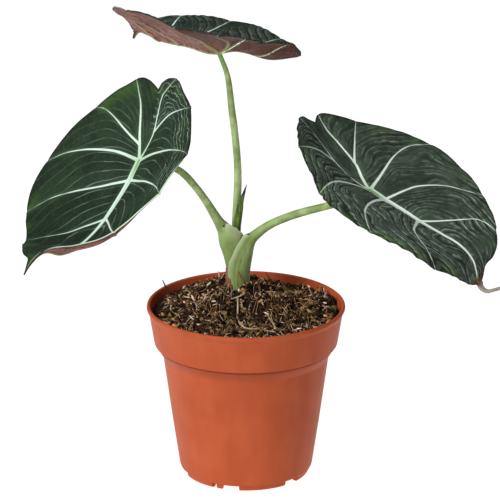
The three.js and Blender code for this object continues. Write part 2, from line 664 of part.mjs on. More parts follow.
// Each outer sheath clasps the stems inside it, so it is cut clear of them.
const newLeaf = (extra = 0) => solidFrom(stemGeometry(NEW_LEAF, { sides: 8, extra }));
const top = petioleSolid("petiole_top");
const left = petioleSolid("petiole_left").subtract(petioleSolid("petiole_top", GAP)).subtract(newLeaf(GAP));
const right = petioleSolid("petiole_right")
  .subtract(petioleSolid("petiole_left", GAP))
  .subtract(petioleSolid("petiole_top", GAP));
addPiece("petiole_top", geometryFrom(top), COLOURS.petiole, 0.5);
addPiece("petiole_left", geometryFrom(left), COLOURS.petiole, 0.5);
addPiece("petiole_right", geometryFrom(right), COLOURS.petiole, 0.5);
addPiece("new_leaf_spike", geometryFrom(newLeaf()), COLOURS.newLeaf, 0.5);

// The soil has one plain hole for the stems and the rhizome, and a groove for each root that lies on it.
const clearOfStalks = (solid) =>
  Object.keys(PETIOLES).reduce((rest, name) => rest.subtract(petioleSolid(name, GAP)), solid);
const planting = clearOfStalks(soilSolid());
addPiece("soil", geometryFrom(planting.subtract(rhizomeSolid(GAP))), COLOURS.soil, 0.95);
addPiece("rhizome_and_roots", geometryFrom(clearOfStalks(rhizomeSolid())), COLOURS.rhizome, 0.8);

for (const [name, leaf] of Object.entries(LEAVES)) addPiece(name, bladeGeometry(leaf), COLOURS.darkLeaf, 0.7);

export default group;
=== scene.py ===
# %% [markdown]
# # A potted dwarf alocasia
# The plant is an aroid with cupped, velvety, blackish-green blades on pale sheathing stalks, and it stands
# in bark soil in a moulded nursery pot. Every solid already has its place in the imported frame. Here each
# one is made again with the detail of the real thing: finely quilted blades with pale veins, papery
# sheaths, loose bark and fibres, and a turned pot. We start by loading the frame.

import math
import random

import bpy
import numpy as np
from mathutils import Euler, Matrix, Vector, noise


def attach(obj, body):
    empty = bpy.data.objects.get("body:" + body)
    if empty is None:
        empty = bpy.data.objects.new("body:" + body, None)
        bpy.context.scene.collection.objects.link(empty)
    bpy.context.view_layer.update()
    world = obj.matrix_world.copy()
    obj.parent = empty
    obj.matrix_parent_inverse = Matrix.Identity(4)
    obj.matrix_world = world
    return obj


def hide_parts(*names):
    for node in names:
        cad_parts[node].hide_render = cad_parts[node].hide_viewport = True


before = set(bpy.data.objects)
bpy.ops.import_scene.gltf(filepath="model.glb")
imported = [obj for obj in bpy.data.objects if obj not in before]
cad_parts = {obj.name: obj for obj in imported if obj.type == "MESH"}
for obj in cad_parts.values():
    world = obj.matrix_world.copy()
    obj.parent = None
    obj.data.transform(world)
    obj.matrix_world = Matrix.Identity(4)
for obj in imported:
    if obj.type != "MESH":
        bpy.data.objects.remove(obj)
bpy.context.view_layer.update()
bpy.ops.object.select_all(action="DESELECT")
MM = 0.001
print("solids in the frame:", sorted(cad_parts))

# %% [markdown]
# ## Helpers for modelling
# All pieces are worked out in millimetres and stored in metres. A blade, a stalk and a root are all the
# same thing to a modeller: a flat grid that is wrapped or bent to a formula. Blender's grid primitive also
# lays out a UV map, so the pattern of a finish can follow the surface. After that the usual edit-mode tools
# merge, fill and turn faces.

# %% Selecting, editing and joining
def select_only(piece):
    bpy.ops.object.select_all(action="DESELECT")
    piece.select_set(True)
    bpy.context.view_layer.objects.active = piece


def edit(piece, *steps):
    """Runs the steps in edit mode with everything selected."""
    select_only(piece)
    bpy.ops.object.mode_set(mode="EDIT")
    bpy.ops.mesh.select_all(action="SELECT")
    for step in steps:
        step()
    bpy.ops.object.mode_set(mode="OBJECT")
    return piece


def join(pieces, name):
    """The pieces as one object with one mesh."""
    bpy.ops.object.select_all(action="DESELECT")
    for piece in pieces:
        piece.select_set(True)
    bpy.context.view_layer.objects.active = pieces[0]
    if len(pieces) > 1:
        bpy.ops.object.join()
    joined = bpy.context.view_layer.objects.active
    joined.name = joined.data.name = name
    return joined


# %% Points, values and grids
def points_of(piece):
    """The vertices as rows of x, y and z."""
    flat = np.zeros(3 * len(piece.data.vertices), np.float32)
    piece.data.vertices.foreach_get("co", flat)
    return flat.reshape(-1, 3).astype(float)


def move_points(piece, points):
    piece.data.vertices.foreach_set("co", np.asarray(points, np.float32).ravel())
    piece.data.update()


def keep_value(piece, name, values):
    """A number for each vertex, which a finish can read by its name."""
    attribute = piece.data.attributes.new(name, "FLOAT", "POINT")
    attribute.data.foreach_set("value", np.asarray(values, np.float32))


def grid(name, across, along, shape):
    """A grid primitive whose points go where shape(s, t) says, s and t from 0 to 1."""
    bpy.ops.mesh.primitive_grid_add(x_subdivisions=across, y_subdivisions=along, size=1)
    piece = bpy.context.object
    piece.name = piece.data.name = name
    start = points_of(piece)
    move_points(piece, shape(start[:, 0] + 0.5, start[:, 1] + 0.5))
    return piece


# %% Shading and handing over
def shade_smooth(piece, angle):
    """Smooth shading, with sharp edges where faces meet at more than the angle in degrees."""
    select_only(piece)
    bpy.ops.object.shade_smooth_by_angle(angle=math.radians(angle))


def finish_piece(piece, nodes):
    """Gives a finished piece its body and hides the solids that it stands for."""
    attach(piece, "root")
    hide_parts(*nodes)
    triangles = sum(len(face.vertices) - 2 for face in piece.data.polygons)
    print(f"{piece.name}: {triangles} triangles, {len(piece.data.materials)} finishes")


# %% [markdown]
# ## Helpers for finishes
# A finish is a small program for the shader. Written node by node it is hard to read, so a socket is
# wrapped in a class that understands + - * /, and each expression adds its own Math nodes. Colours are
# given as 8-bit sRGB, as a colour picker shows them, and turned into the linear values that Blender
# expects.

# %% Shader expressions
def srgb(red, green, blue):
    """A colour picker's numbers as a linear colour with full alpha."""
    channels = [c / 255 for c in (red, green, blue)]
    return tuple(c / 12.92 if c < 0.04045 else ((c + 0.055) / 1.055) ** 2.4 for c in channels) + (1.0,)


class Value:
    """A socket that can be used in sums."""

    def __init__(self, finish, socket):
        self.finish = finish
        self.socket = socket

    def math(self, operation, other=0.0, swap=False):
        first, second = (other, self) if swap else (self, other)
        return self.finish.node("ShaderNodeMath", {"operation": operation}, {0: first, 1: second})

    def __add__(self, other):
        return self.math("ADD", other)

    def __sub__(self, other):
        return self.math("SUBTRACT", other)

    def __rsub__(self, other):
        return self.math("SUBTRACT", other, swap=True)

    def __mul__(self, other):
        return self.math("MULTIPLY", other)

    def __truediv__(self, other):
        return self.math("DIVIDE", other)

    __radd__ = __add__
    __rmul__ = __mul__

    def from_middle(self):
        """How far a value is from the middle of the whole step that it is in, from 0 to 0.5."""
        return (self.math("FRACT") - 0.5).math("ABSOLUTE")

    def step(self, low, high):
        """0 below low and 1 above high, softly; the other way round if low is above high."""
        inputs = {"Value": self, "From Min": low, "From Max": high}
        return self.finish.node("ShaderNodeMapRange", {"interpolation_type": "SMOOTHSTEP"}, inputs)


# %% [markdown]
# A finish holds one material. Its constants are set on the Principled shader's sockets directly, and what
# changes over the surface is fed in. Noise comes in sizes of millimetres, and colours are laid over one
# another like glazes.

# %% The finish class
class Finish:
    """A material, with its Principled shader's constants given by name."""

    def __init__(self, name, **constants):
        self.material = bpy.data.materials.new(name)
        self.material.use_nodes = True
        self.tree = self.material.node_tree
        self.shader = self.tree.nodes["Principled BSDF"]
        for name, value in constants.items():
            self.shader_input(name).default_value = value

    def shader_input(self, name):
        """The shader's input with this name, written with underscores."""
        return self.shader.inputs[name.replace("_", " ").title().replace("Ior", "IOR")]

    def node(self, kind, settings=None, inputs=None, output=0):
        """A new node with its settings, and the values or links of its inputs, as a value to build on."""
        node = self.tree.nodes.new(kind)
        for key, value in (settings or {}).items():
            setattr(node, key, value)
        for key, value in (inputs or {}).items():
            if isinstance(value, Value):
                self.tree.links.new(value.socket, node.inputs[key])
            else:
                node.inputs[key].default_value = value
        return Value(self, node.outputs[output])

    def place(self):
        return self.node("ShaderNodeTexCoord", output="Object")

    def height(self):
        """The height above the floor, in metres."""
        return self.node("ShaderNodeSeparateXYZ", None, {0: self.place()}, "Z")

    def stretched(self, x, y, z):
        """The place on the object, in a frame that is stretched along its axes."""
        inputs = {"Vector": self.place(), "Scale": (x, y, z)}
        return self.node("ShaderNodeMapping", None, inputs)

    def noise(self, size_mm, where=None, detail=3.0, roughness=0.55):
        inputs = {"Vector": where or self.place(), "Scale": 1 / (size_mm * MM), "Detail": detail,
                  "Roughness": roughness}
        return self.node("ShaderNodeTexNoise", None, inputs)

    def value(self, name):
        """A number that the piece keeps for each of its points."""
        return self.node("ShaderNodeAttribute", {"attribute_name": name}, output="Fac")

    def mix(self, share, first, second):
        """The first colour, with a share of the second from 0 to 1."""
        return self.node("ShaderNodeMix", {"data_type": "RGBA"}, {0: share, 6: first, 7: second}, 2)

    def glazed(self, colour, *glazes):
        """The colour with each (share, tint) laid over it in turn."""
        for share, tint in glazes:
            colour = self.mix(share, colour, tint)
        return colour

    def feed(self, **sockets):
        """Links each value to the shader's input of that name."""
        for name, value in sockets.items():
            self.tree.links.new(value.socket, self.shader_input(name))

    def bump(self, height, depth_mm, strength=1.0):
        inputs = {"Height": height, "Distance": depth_mm * MM, "Strength": strength}
        self.feed(normal=self.node("ShaderNodeBump", None, inputs))


# %% [markdown]
# ## The pot
# A real nursery pot is injection moulded: one even wall, a foot ring cut by notches so that water can run
# out, a tapered body, and a stepped collar that ends in a rolled lip. A turned shape is made fastest by
# drawing half of its section and spinning that round the axis. The main radii and heights are driving
# sizes. The small steps of the foot, the collar's shoulder and the lip are each drawn as (out, up) from the
# corner that they belong to.

# %% Section of the pot
POT = {"height": 95.8, "wall": 1.5, "foot": 34.2, "base": 35.6, "waist": 45.4, "waist_height": 66,
       "collar": 49.8, "collar_height": 73.5, "lip": 54, "floor": 4, "pad": 13}
FOOT_STEPS = [(-3.4, 4), (-3, 0), (-0.2, 0), (0.5, 1.1), (0.8, 3.0), (1.7, 3.4)]
SHOULDER_STEPS = [(-0.7, -2), (-0.3, 1.0), (0.5, 2.6), (1.6, 4.3), (2.4, 5.7), (2.8, 6.7), (2.6, 7.4),
                  (2.8, 8.0), (4.2, 8.0), (4.5, 8.6)]
LIP_STEPS = [(-1.3, -4), (-0.5, -2.7), (0, -1.6), (-0.2, -0.6), (-1.0, 0), (-2, -0.5), (-3.3, -6.4)]
AXIS = 0.01


def pot_radius(z):
    """The outside of the tapered wall at a height."""
    return POT["base"] + (POT["waist"] - POT["base"]) * z / POT["waist_height"]


def beside(radius, height, steps):
    """Points that lie (out, up) from a corner of the section."""
    return [(radius + out, height + up) for out, up in steps]


def rounded(corners, radius, steps=3):
    """The corners of an open line, each cut off and replaced by a small curve."""
    line = [corners[0]]
    for before, corner, after in zip(corners, corners[1:], corners[2:]):
        corner = np.array(corner, float)
        ways = [np.array(point, float) - corner for point in (before, after)]
        cut = [corner + way * min(0.45, radius / np.linalg.norm(way)) for way in ways]
        for k in range(steps + 1):
            t = k / steps
            line.append(tuple((1 - t) ** 2 * cut[0] + 2 * t * (1 - t) * corner + t * t * cut[1]))
    return line + [corners[-1]]


floor_top = POT["floor"] + POT["wall"]
foot = [(AXIS, 0), *beside(POT["pad"], 0, [(0, 0), (0.8, POT["floor"])]), *beside(POT["foot"], 0, FOOT_STEPS)]
wall = [(pot_radius(z), z) for z in (4.6, 30)]
shoulder = beside(POT["waist"], POT["waist_height"], SHOULDER_STEPS)
lip = beside(POT["lip"], POT["height"], LIP_STEPS)
inside = [*beside(POT["collar"], POT["collar_height"], [(-1.3, 2.5), (-3.2, 0)]),
          *beside(POT["waist"], POT["waist_height"], [(-1.1, 3), (-2.0, -1)]),
          (pot_radius(30) - POT["wall"], 30), (pot_radius(9) - POT["wall"], floor_top + 3),
          (pot_radius(5) - 4, floor_top), (AXIS, floor_top)]
section = rounded(foot + wall + shoulder + lip + inside, 0.3)
print("points in the pot's section:", len(section))


# %% Spin it
def spun(name, line, steps):
    """The line of (radius, height) turned once round the axis, closed where it meets it."""
    mesh = bpy.data.meshes.new(name)
    mesh.from_pydata([(r * MM, 0, z * MM) for r, z in line], [(k, k + 1) for k in range(len(line) - 1)], [])
    piece = bpy.data.objects.new(name, mesh)
    bpy.context.collection.objects.link(piece)
    return edit(
        piece,
        lambda: bpy.ops.mesh.spin(steps=steps, angle=2 * math.pi, center=(0, 0, 0), axis=(0, 0, 1)),
        lambda: bpy.ops.mesh.select_all(action="SELECT"),
        lambda: bpy.ops.mesh.remove_doubles(threshold=0.05 * MM),
        lambda: bpy.ops.mesh.normals_make_consistent(inside=False),
    )


pot = spun("pot", section, 144)
print("faces of the spun pot:", len(pot.data.polygons))

# %% [markdown]
# The foot ring has six notches, and narrow slits beside three of them, and the floor has six drain holes.
# In the mould they are steel blocks and pins that the plastic flows round. Here plain blocks and rods are
# joined into one cutter, and a Boolean modifier takes that out of the pot.

# %% Cut the notches, slits and drain holes
NOTCH = {"count": 6, "width": 9.5, "height": 2.8, "first": -104, "slit": 2.6, "slit_away": 15.5, "through": 8}
DRAIN = {"count": 6, "radius": 3.4, "pitch": 21.5, "through": 12}


def on_circle(radius, turn, z=0.0):
    """A place in metres, from millimetres and an angle in radians."""
    return radius * MM * math.cos(turn), radius * MM * math.sin(turn), z * MM


def gap_block(degrees, width):
    """A block across the foot ring that leaves a gap of the given width."""
    turn = math.radians(degrees)
    bpy.ops.mesh.primitive_cube_add(size=1, rotation=(0, 0, turn), location=on_circle(POT["foot"], turn))
    bpy.context.object.scale = (NOTCH["through"] * MM, width * MM, 2 * NOTCH["height"] * MM)
    return bpy.context.object


def drain_rod(turn):
    place = on_circle(DRAIN["pitch"], turn, POT["floor"])
    bpy.ops.mesh.primitive_cylinder_add(vertices=32, radius=DRAIN["radius"] * MM, depth=DRAIN["through"] * MM,
                                        location=place)
    return bpy.context.object


def cut_by(piece, cutter):
    """Takes the cutter out of the piece and removes it."""
    select_only(piece)
    modifier = piece.modifiers.new("cut", "BOOLEAN")
    modifier.operation = "DIFFERENCE"
    modifier.object = cutter
    modifier.solver = "EXACT"
    bpy.ops.object.modifier_apply(modifier="cut")
    bpy.data.objects.remove(cutter)


notch_turns = [NOTCH["first"] + 360 / NOTCH["count"] * k for k in range(NOTCH["count"])]
cutters = [gap_block(turn, NOTCH["width"]) for turn in notch_turns]
cutters += [gap_block(turn - NOTCH["slit_away"], NOTCH["slit"]) for turn in notch_turns[::2]]
cutters += [drain_rod(math.radians(360 / DRAIN["count"] * (k + 0.5))) for k in range(DRAIN["count"])]
for cutter in cutters:
    select_only(cutter)
    bpy.ops.object.transform_apply(location=True, rotation=True, scale=True)
print("blocks and rods in the cutter:", len(cutters))
cut_by(pot, join(cutters, "cutters"))
shade_smooth(pot, 40)

# %% [markdown]
# ## The pot's plastic
# Coloured polypropylene is even in colour with a soft gloss. What makes it look moulded and not painted is
# small: a faint grain, slight flow marks that run up the wall, and a little dust. Under the collar a painted
# shade makes the plastic a deeper brown-red, where the ledge keeps the light off.

# %% Terracotta plastic
plastic = Finish("pot_plastic", specular_ior_level=0.12, subsurface_weight=0.12)
plastic.shader.inputs["Subsurface Radius"].default_value = (0.004, 0.0007, 0.0003)
cloud = plastic.noise(24, detail=2)
grain = plastic.noise(0.35, detail=2)
flow = plastic.noise(7, plastic.stretched(1, 1, 0.12), detail=3)
dust = plastic.noise(1.1, detail=4, roughness=0.7).step(0.58, 0.74)
height = plastic.height()
# Painted shade: a deeper brown-red band just under the collar, where the ledge keeps the light off.
painted_shade_under_collar = height.step(0.0655, 0.0735) * height.step(0.0744, 0.0738)
terracotta = plastic.mix(cloud.step(0.35, 0.65), srgb(174, 80, 45), srgb(182, 87, 51))
terracotta = plastic.glazed(
    terracotta,
    (flow.step(0.42, 0.66) * 0.2, srgb(160, 67, 32)),
    (dust * 0.10, srgb(192, 116, 80)),
    (painted_shade_under_collar * 0.32, srgb(110, 42, 20)),
)
plastic.feed(base_color=terracotta, roughness=0.46 + 0.08 * flow + 0.1 * dust)
plastic.bump(0.6 * grain + 0.3 * flow, 0.05, 0.5)
pot.data.materials.append(plastic.material)
finish_piece(pot, ["pot"])

# %% [markdown]
# ## The soil
# The pot holds bark and fibre, heaped a little round the stems. The ground under the chips is one lumpy
# sheet: a square grid squeezed into a disc, so that no point is pinched in the middle, and then lifted by a
# few crossed waves and a finer crumb. Its border is drawn down inside the pot and closed.

# %% Height of the soil
SOIL = {"edge": 89.5, "mound": 15.5, "mound_radius": 26, "lump": 1.2, "radius": 49.2}
STEM = (-4, 11)
# Each heap is (x, y, radius, height).
HEAPS = [(40, 8, 17, 2.6), (45, 17, 10, 3.2), (-40, 4, 15, 2.2), (-25, 28, 12, 1.6), (28, 32, 12, 1.4),
         (14, -2, 6, 1.6)]


def soil_height(x, y):
    away = np.hypot(x - STEM[0], y - STEM[1]) / SOIL["mound_radius"]
    lumps = np.sin(0.31 * x + 1.3) * np.cos(0.27 * y - 0.4) + 0.6 * np.sin(0.53 * x - 0.47 * y + 2.1)
    out = np.hypot(x, y) / POT["collar"]
    return SOIL["edge"] + SOIL["mound"] * np.exp(-away * away) + SOIL["lump"] * lumps * (1 - 0.5 * out * out)


def crumb(x, y):
    """The finer ups and downs of the loose mix, in millimetres."""
    rough = noise.fractal(Vector((x / 3.4, y / 3.4, 0.7)), 1.0, 2.0, 4)
    lump = noise.noise(Vector((x / 7.5, y / 7.5, 4.2)))
    heaps = sum(h * math.exp(-((x - a) ** 2 + (y - b) ** 2) / r**2) for a, b, r, h in HEAPS)
    return 1.5 * rough + 2.4 * lump + heaps


def surface(x, y):
    """Where the crumb's top is, in millimetres."""
    return float(soil_height(x, y)) + crumb(x, y)


print("soil at the stem:", round(surface(*STEM), 1), "mm up")

# %% Ground
# Rings of the pot's inside that the soil's border follows down, as (radius, height).
INNER_WALL = [(45.2, 71.9), (42.8, 65), (32.7, 5.8)]


def ground_shape(s, t):
    """A square grid squeezed into the disc of the soil."""
    a, b = 2 * s - 1, 2 * t - 1
    x = SOIL["radius"] * a * np.sqrt(1 - b * b / 2)
    y = SOIL["radius"] * b * np.sqrt(1 - a * a / 2)
    up = soil_height(x, y) + np.array([crumb(p, q) for p, q in zip(x, y)])
    return np.c_[x, y, up] * MM


def drawn_down(radius, z):
    """An edit-mode step that extrudes the open border to a lower, narrower ring."""
    def step():
        bpy.ops.mesh.select_all(action="DESELECT")
        bpy.ops.mesh.select_mode(type="EDGE")
        bpy.ops.mesh.select_non_manifold(extend=False)
        bpy.ops.mesh.extrude_edges_move()
        work = bpy.context.object
        work.update_from_editmode()
        bpy.ops.object.mode_set(mode="OBJECT")
        for vertex in work.data.vertices:
            if vertex.select:
                shrink = radius * MM / math.hypot(vertex.co.x, vertex.co.y)
                vertex.co = (vertex.co.x * shrink, vertex.co.y * shrink, z * MM)
        bpy.ops.object.mode_set(mode="EDIT")
    return step


ground = grid("soil_ground", 130, 130, ground_shape)
edit(
    ground,
    *[drawn_down(radius, z) for radius, z in INNER_WALL],
    lambda: bpy.ops.mesh.edge_face_add(),
    lambda: bpy.ops.mesh.select_all(action="SELECT"),
    lambda: bpy.ops.mesh.normals_make_consistent(inside=False),
)
shade_smooth(ground, 180)
levels = points_of(ground)[:, 2] * 1000
print(f"soil stands from {levels.min():.1f} to {levels.max():.1f} mm")

# %% [markdown]
# ## Bark chips
# Composted bark breaks into crumbs, flat flakes and splinters. Each kind is modelled in a few versions,
# from a small sphere that its own noise roughens and a size flattens. Seeded copies of them are strewn over
# the mound, each with its own turn, size and shade of brown, which it carries as a number for the finish.

# %% Strew the chips
BITS = {
    "bark_crumbs": {"seeds": range(20, 26), "model": (2.3, 1.3, 1.1), "count": 2100, "sizes": (0.45, 1.3),
                    "sink": -0.1, "tones": [0, 0, 0, 0.1, 0.2, 0.3, 0.4, 0.5, 0.65]},
    "bark_chips": {"seeds": range(6), "model": (4.0, 2.6, 1.1), "count": 460, "sizes": (0.5, 1.45),
                   "sink": 0.1, "tones": [0, 0, 0.1, 0.2, 0.35, 0.45, 0.75]},
    "bark_splinters": {"seeds": range(9, 14), "model": (6.0, 1.2, 0.8), "count": 380, "sizes": (0.4, 1.2),
                       "sink": -0.4, "tones": [0, 0.1, 0.3, 0.5, 0.75, 0.9, 1.0, 1.0]},
}
strewing = random.Random(7)


def flake(seed, length, width, thickness):
    """A small sphere, roughened by its own noise and flattened to a size in millimetres."""
    bpy.ops.mesh.primitive_ico_sphere_add(subdivisions=1, radius=1)
    piece = bpy.context.object
    points = points_of(piece)
    for p in points:
        p *= 1 + 0.35 * noise.noise(Vector(p) * 1.7 + Vector((seed, 0, 0)))
    move_points(piece, points * np.array([length, width, thickness]) / 2)
    return piece


def on_soil(margin=1.5, inner=0.0):
    """A random place on the mound, in millimetres, away from the pot's wall and the stem."""
    while True:
        out = (SOIL["radius"] - margin) * math.sqrt(strewing.random())
        turn = strewing.uniform(0, 2 * math.pi)
        x, y = out * math.cos(turn), out * math.sin(turn)
        if math.hypot(x - STEM[0], y - STEM[1]) > inner:
            return x, y


def strewn(name, seeds, model, count, sizes, sink, tones):
    """Copies of one kind of bit, lying on the soil at random, as one mesh."""
    models = [flake(seed, *model) for seed in seeds]
    copies = []
    for _ in range(count):
        x, y = on_soil(inner=7)
        piece = strewing.choice(models).copy()
        piece.data = piece.data.copy()
        bpy.context.collection.objects.link(piece)
        size = strewing.uniform(*sizes)
        lean = Euler((strewing.gauss(0, 0.45), strewing.gauss(0, 0.45), strewing.uniform(0, 6.3)))
        place = Vector((x, y, surface(x, y) - sink * size))
        piece.data.transform(Matrix.LocRotScale(place * MM, lean, Vector((size, size, size)) * MM))
        keep_value(piece, "tone", [strewing.choice(tones)] * len(piece.data.vertices))
        copies.append(piece)
    for flake_model in models:
        bpy.data.objects.remove(flake_model)
    return join(copies, name)


bits = [strewn(name, **numbers) for name, numbers in BITS.items()]
print("strewn bits:", sum(numbers["count"] for numbers in BITS.values()))

# %% [markdown]
# ## Fibres and straws
# Coconut and peat fibre lies over and between the chips in every direction. Fibres are thin bent rods: one
# curve with many strands, given a round section and turned into a mesh. A strand wanders over the soil from
# a random place and arches a little. A few longer straws and twigs stand out, and their lines are listed.

# %% Lay the fibres
FIBRES = {
    "tan_fibres": {"count": 380, "length": (3, 9), "radius": 0.17, "curl": 1.9},
    "dark_fibres": {"count": 320, "length": (3, 9), "radius": 0.27, "curl": 1.6},
    "pale_fibres": {"count": 130, "length": (2, 7), "radius": 0.17, "curl": 1.4},
}
STRAND_STEPS = 6
STRAND_LIFT = (0.1, 2.4)


def rods(name, lines, radius, roundness):
    """Bent rods through (x, y, z, width) points in millimetres, as one mesh."""
    curve = bpy.data.curves.new(name, "CURVE")
    curve.dimensions = "3D"
    curve.bevel_depth = radius * MM
    curve.bevel_resolution = roundness
    curve.use_fill_caps = True
    for line in lines:
        rod = curve.splines.new("POLY")
        rod.points.add(len(line) - 1)
        for point, (x, y, z, width) in zip(rod.points, line):
            point.co = (x * MM, y * MM, z * MM, 1)
            point.radius = width
    piece = bpy.data.objects.new(name, curve)
    bpy.context.collection.objects.link(piece)
    select_only(piece)
    bpy.ops.object.convert(target="MESH")
    return bpy.context.object


def strand(length, curl):
    """A line that wanders over the soil and arches a little, as (x, y, z, width) points."""
    x, y = on_soil(margin=3)
    heading = strewing.uniform(0, 2 * math.pi)
    bend = strewing.gauss(0, curl) / STRAND_STEPS
    pace = strewing.uniform(*length) / STRAND_STEPS
    rise = strewing.uniform(*STRAND_LIFT)
    line = []
    for k in range(STRAND_STEPS + 1):
        share = k / STRAND_STEPS
        if math.hypot(x, y) > SOIL["radius"] - 0.6:
            x, y = 0.97 * x, 0.97 * y
        z = surface(x, y) + 0.15 + rise * math.sin(math.pi * share)
        line.append((x, y, z, 0.45 + 0.75 * math.sin(math.pi * min(1, share + 0.15))))
        heading += bend
        x += pace * math.cos(heading)
        y += pace * math.sin(heading)
    return line


fibres = {}
for name, kind in FIBRES.items():
    lines = [strand(kind["length"], kind["curl"]) for _ in range(kind["count"])]
    fibres[name] = rods(name, lines, kind["radius"], 0)
    print(f"{name}: {len(lines)} strands")

# %% Lay the straws and twigs that stand out
STRAWS = {
    "tan_fibres": {"radius": 0.38, "lines": [
        [(11.2, 35, 101), (12.8, 34.6, 98), (14.2, 34, 94.5)],
        [(33.9, 14, 100.5), (35.6, 12.4, 97.6), (34.6, 10, 93.2)],
        [(-30, 20, 95), (-26, 22.5, 97.2), (-21, 24, 96.4)]]},
    "dark_fibres": {"radius": 0.45, "lines": [
        [(-45.7, 19, 102.6), (-44.0, 19.6, 98.6), (-41.6, 20, 92)],
        [(2.6, 23, 104), (4.4, 23.5, 99.5), (5.6, 24, 95)],
        [(6.8, 27, 101.6), (7.4, 27, 98.6), (9.4, 27, 95)]]},
    "pale_fibres": {"radius": 0.6, "lines": [
        [(-15.2, 35, 102), (-14.6, 35, 98.5), (-14.2, 35, 94.5)],
        [(-41.4, 5.0, 93.6), (-38.6, 6.6, 94.8), (-36.4, 7.0, 94.4)],
        [(-42.0, 1.5, 93.4), (-40.2, 3.2, 94.6), (-39.6, 5.2, 94.0)],
        [(-23.2, 23, 95.4), (-21.6, 24, 95.6)]]},
}
STRAW_TAPER = (0.55, 1.1, 1.0)

for name, straws in STRAWS.items():
    lines = [[(*point, straws["radius"] * width) for point, width in zip(line, STRAW_TAPER)]
             for line in straws["lines"]]
    fibres[name] = join([fibres[name], *[rods("straw", [line], 1, 1) for line in lines]], name)
    print(f"{name}: {len(lines)} straws added")

# %% [markdown]
# ## Finishes of the soil
# Wet bark is nearly black, dry bark is a warm brown, and the pale bits are wood and dried fibre. Each chip
# carries a tone of its own, and the finish turns that number into one of those colours, with grain and
# crumb from noise.

# %% Crumb and bark
EARTH = [(0.0, srgb(16, 9, 6)), (0.3, srgb(60, 38, 27)), (0.55, srgb(146, 108, 64)),
         (0.8, srgb(212, 170, 118)), (1.0, srgb(252, 232, 208))]
MOSS = srgb(132, 132, 58)


def ramp(finish, share, stops):
    """The colours of the stops, mixed one after the other."""
    colour = stops[0][1]
    for (low, _), (high, tint) in zip(stops, stops[1:]):
        colour = finish.mix(share.step(low, high), colour, tint)
    return colour


earth = Finish("soil_crumb", roughness=0.95, specular_ior_level=0.2)
lumps = earth.noise(1.6, detail=6, roughness=0.75)
earth.feed(base_color=ramp(earth, lumps.step(0.42, 0.95), EARTH[:4]))
earth.bump(lumps, 1.2, 0.9)

bark = Finish("bark_chip", roughness=0.85, specular_ior_level=0.25)
fleck = bark.noise(0.5, detail=4, roughness=0.7)
moss = bark.noise(9, detail=2).step(0.48, 0.66)
tone = bark.value("tone")
barky = ramp(bark, tone + 0.5 * (fleck - 0.5), EARTH)
bark.feed(base_color=bark.mix(moss * tone * 0.75, barky, MOSS))
bark.bump(fleck, 0.25, 0.8)
print("finishes:", earth.material.name, bark.material.name)

# %% Fibre, and the soil as one piece
FIBRE_COLOURS = {
    "tan_fibres": (srgb(190, 146, 100), srgb(150, 120, 72)),
    "dark_fibres": (srgb(96, 60, 40), srgb(62, 48, 28)),
    "pale_fibres": (srgb(240, 218, 196), srgb(226, 192, 176)),
}


def fibre(name, first, second):
    finish = Finish(name, roughness=0.8, specular_ior_level=0.25)
    patch = finish.noise(5, detail=2)
    streak = finish.noise(0.4, detail=3)
    colour = finish.mix(patch.step(0.35, 0.65), first, second)
    finish.feed(base_color=finish.mix(streak * 0.5, colour, srgb(60, 42, 28)))
    finish.bump(streak, 0.08, 0.6)
    return finish.material


ground.data.materials.append(earth.material)
for bit in bits:
    bit.data.materials.append(bark.material)
for name, piece in fibres.items():
    piece.data.materials.append(fibre(name.removesuffix("s"), *FIBRE_COLOURS[name]))
soil = join([ground, *bits, *fibres.values()], "bark_soil")
finish_piece(soil, ["soil"])

# %% [markdown]
# ## Stalks, the rolled leaf and roots
# Alocasia petioles are smooth and round above, and widen below into sheaths that clasp one another. A stalk
# is a grid wrapped round a smooth line, with a section that changes along it: the same line and widths as
# the solid in the frame, only with many more rings, so that it reads as one soft bend.

# %% Smooth lines
def cubic(a, b, start, end, w):
    """From a to b with the given slopes at both ends, at w from 0 to 1."""
    return (2 * a - 2 * b + start + end) * w**3 + (-3 * a + 3 * b - 2 * start - end) * w**2 + start * w + a


def uniform_line(points, t):
    """A Catmull-Rom line through the points, with t from 0 to 1."""
    points, t = np.array(points, float), np.asarray(t, float)
    span = (len(points) - 1) * t
    k = np.clip(np.floor(span).astype(int), 0, len(points) - 2)
    w = (span - k)[..., None]
    before, a, b, after = (points[np.clip(k + d, 0, len(points) - 1)] for d in (-1, 0, 1, 2))
    return cubic(a, b, (b - before) / 2, (after - a) / 2, w)


def centred_line(points, t):
    """A centripetal Catmull-Rom line, which doesn't overshoot where the points are uneven."""
    points, t = np.array(points, float), np.asarray(t, float)
    ends = np.vstack([2 * points[0] - points[1], points, 2 * points[-1] - points[-2]])
    span = (len(points) - 1) * t
    k = np.clip(np.floor(span).astype(int), 0, len(points) - 2)
    w = (span - k)[..., None]
    p = [ends[k + d] for d in range(4)]
    d0, d1, d2 = (np.sqrt(np.linalg.norm(p[i + 1] - p[i], axis=-1))[..., None] for i in range(3))
    start = ((p[1] - p[0]) / d0 - (p[2] - p[0]) / (d0 + d1) + (p[2] - p[1]) / d1) * d1
    end = ((p[2] - p[1]) / d1 - (p[3] - p[1]) / (d1 + d2) + (p[3] - p[2]) / d2) * d1
    return cubic(p[1], p[2], start, end, w)


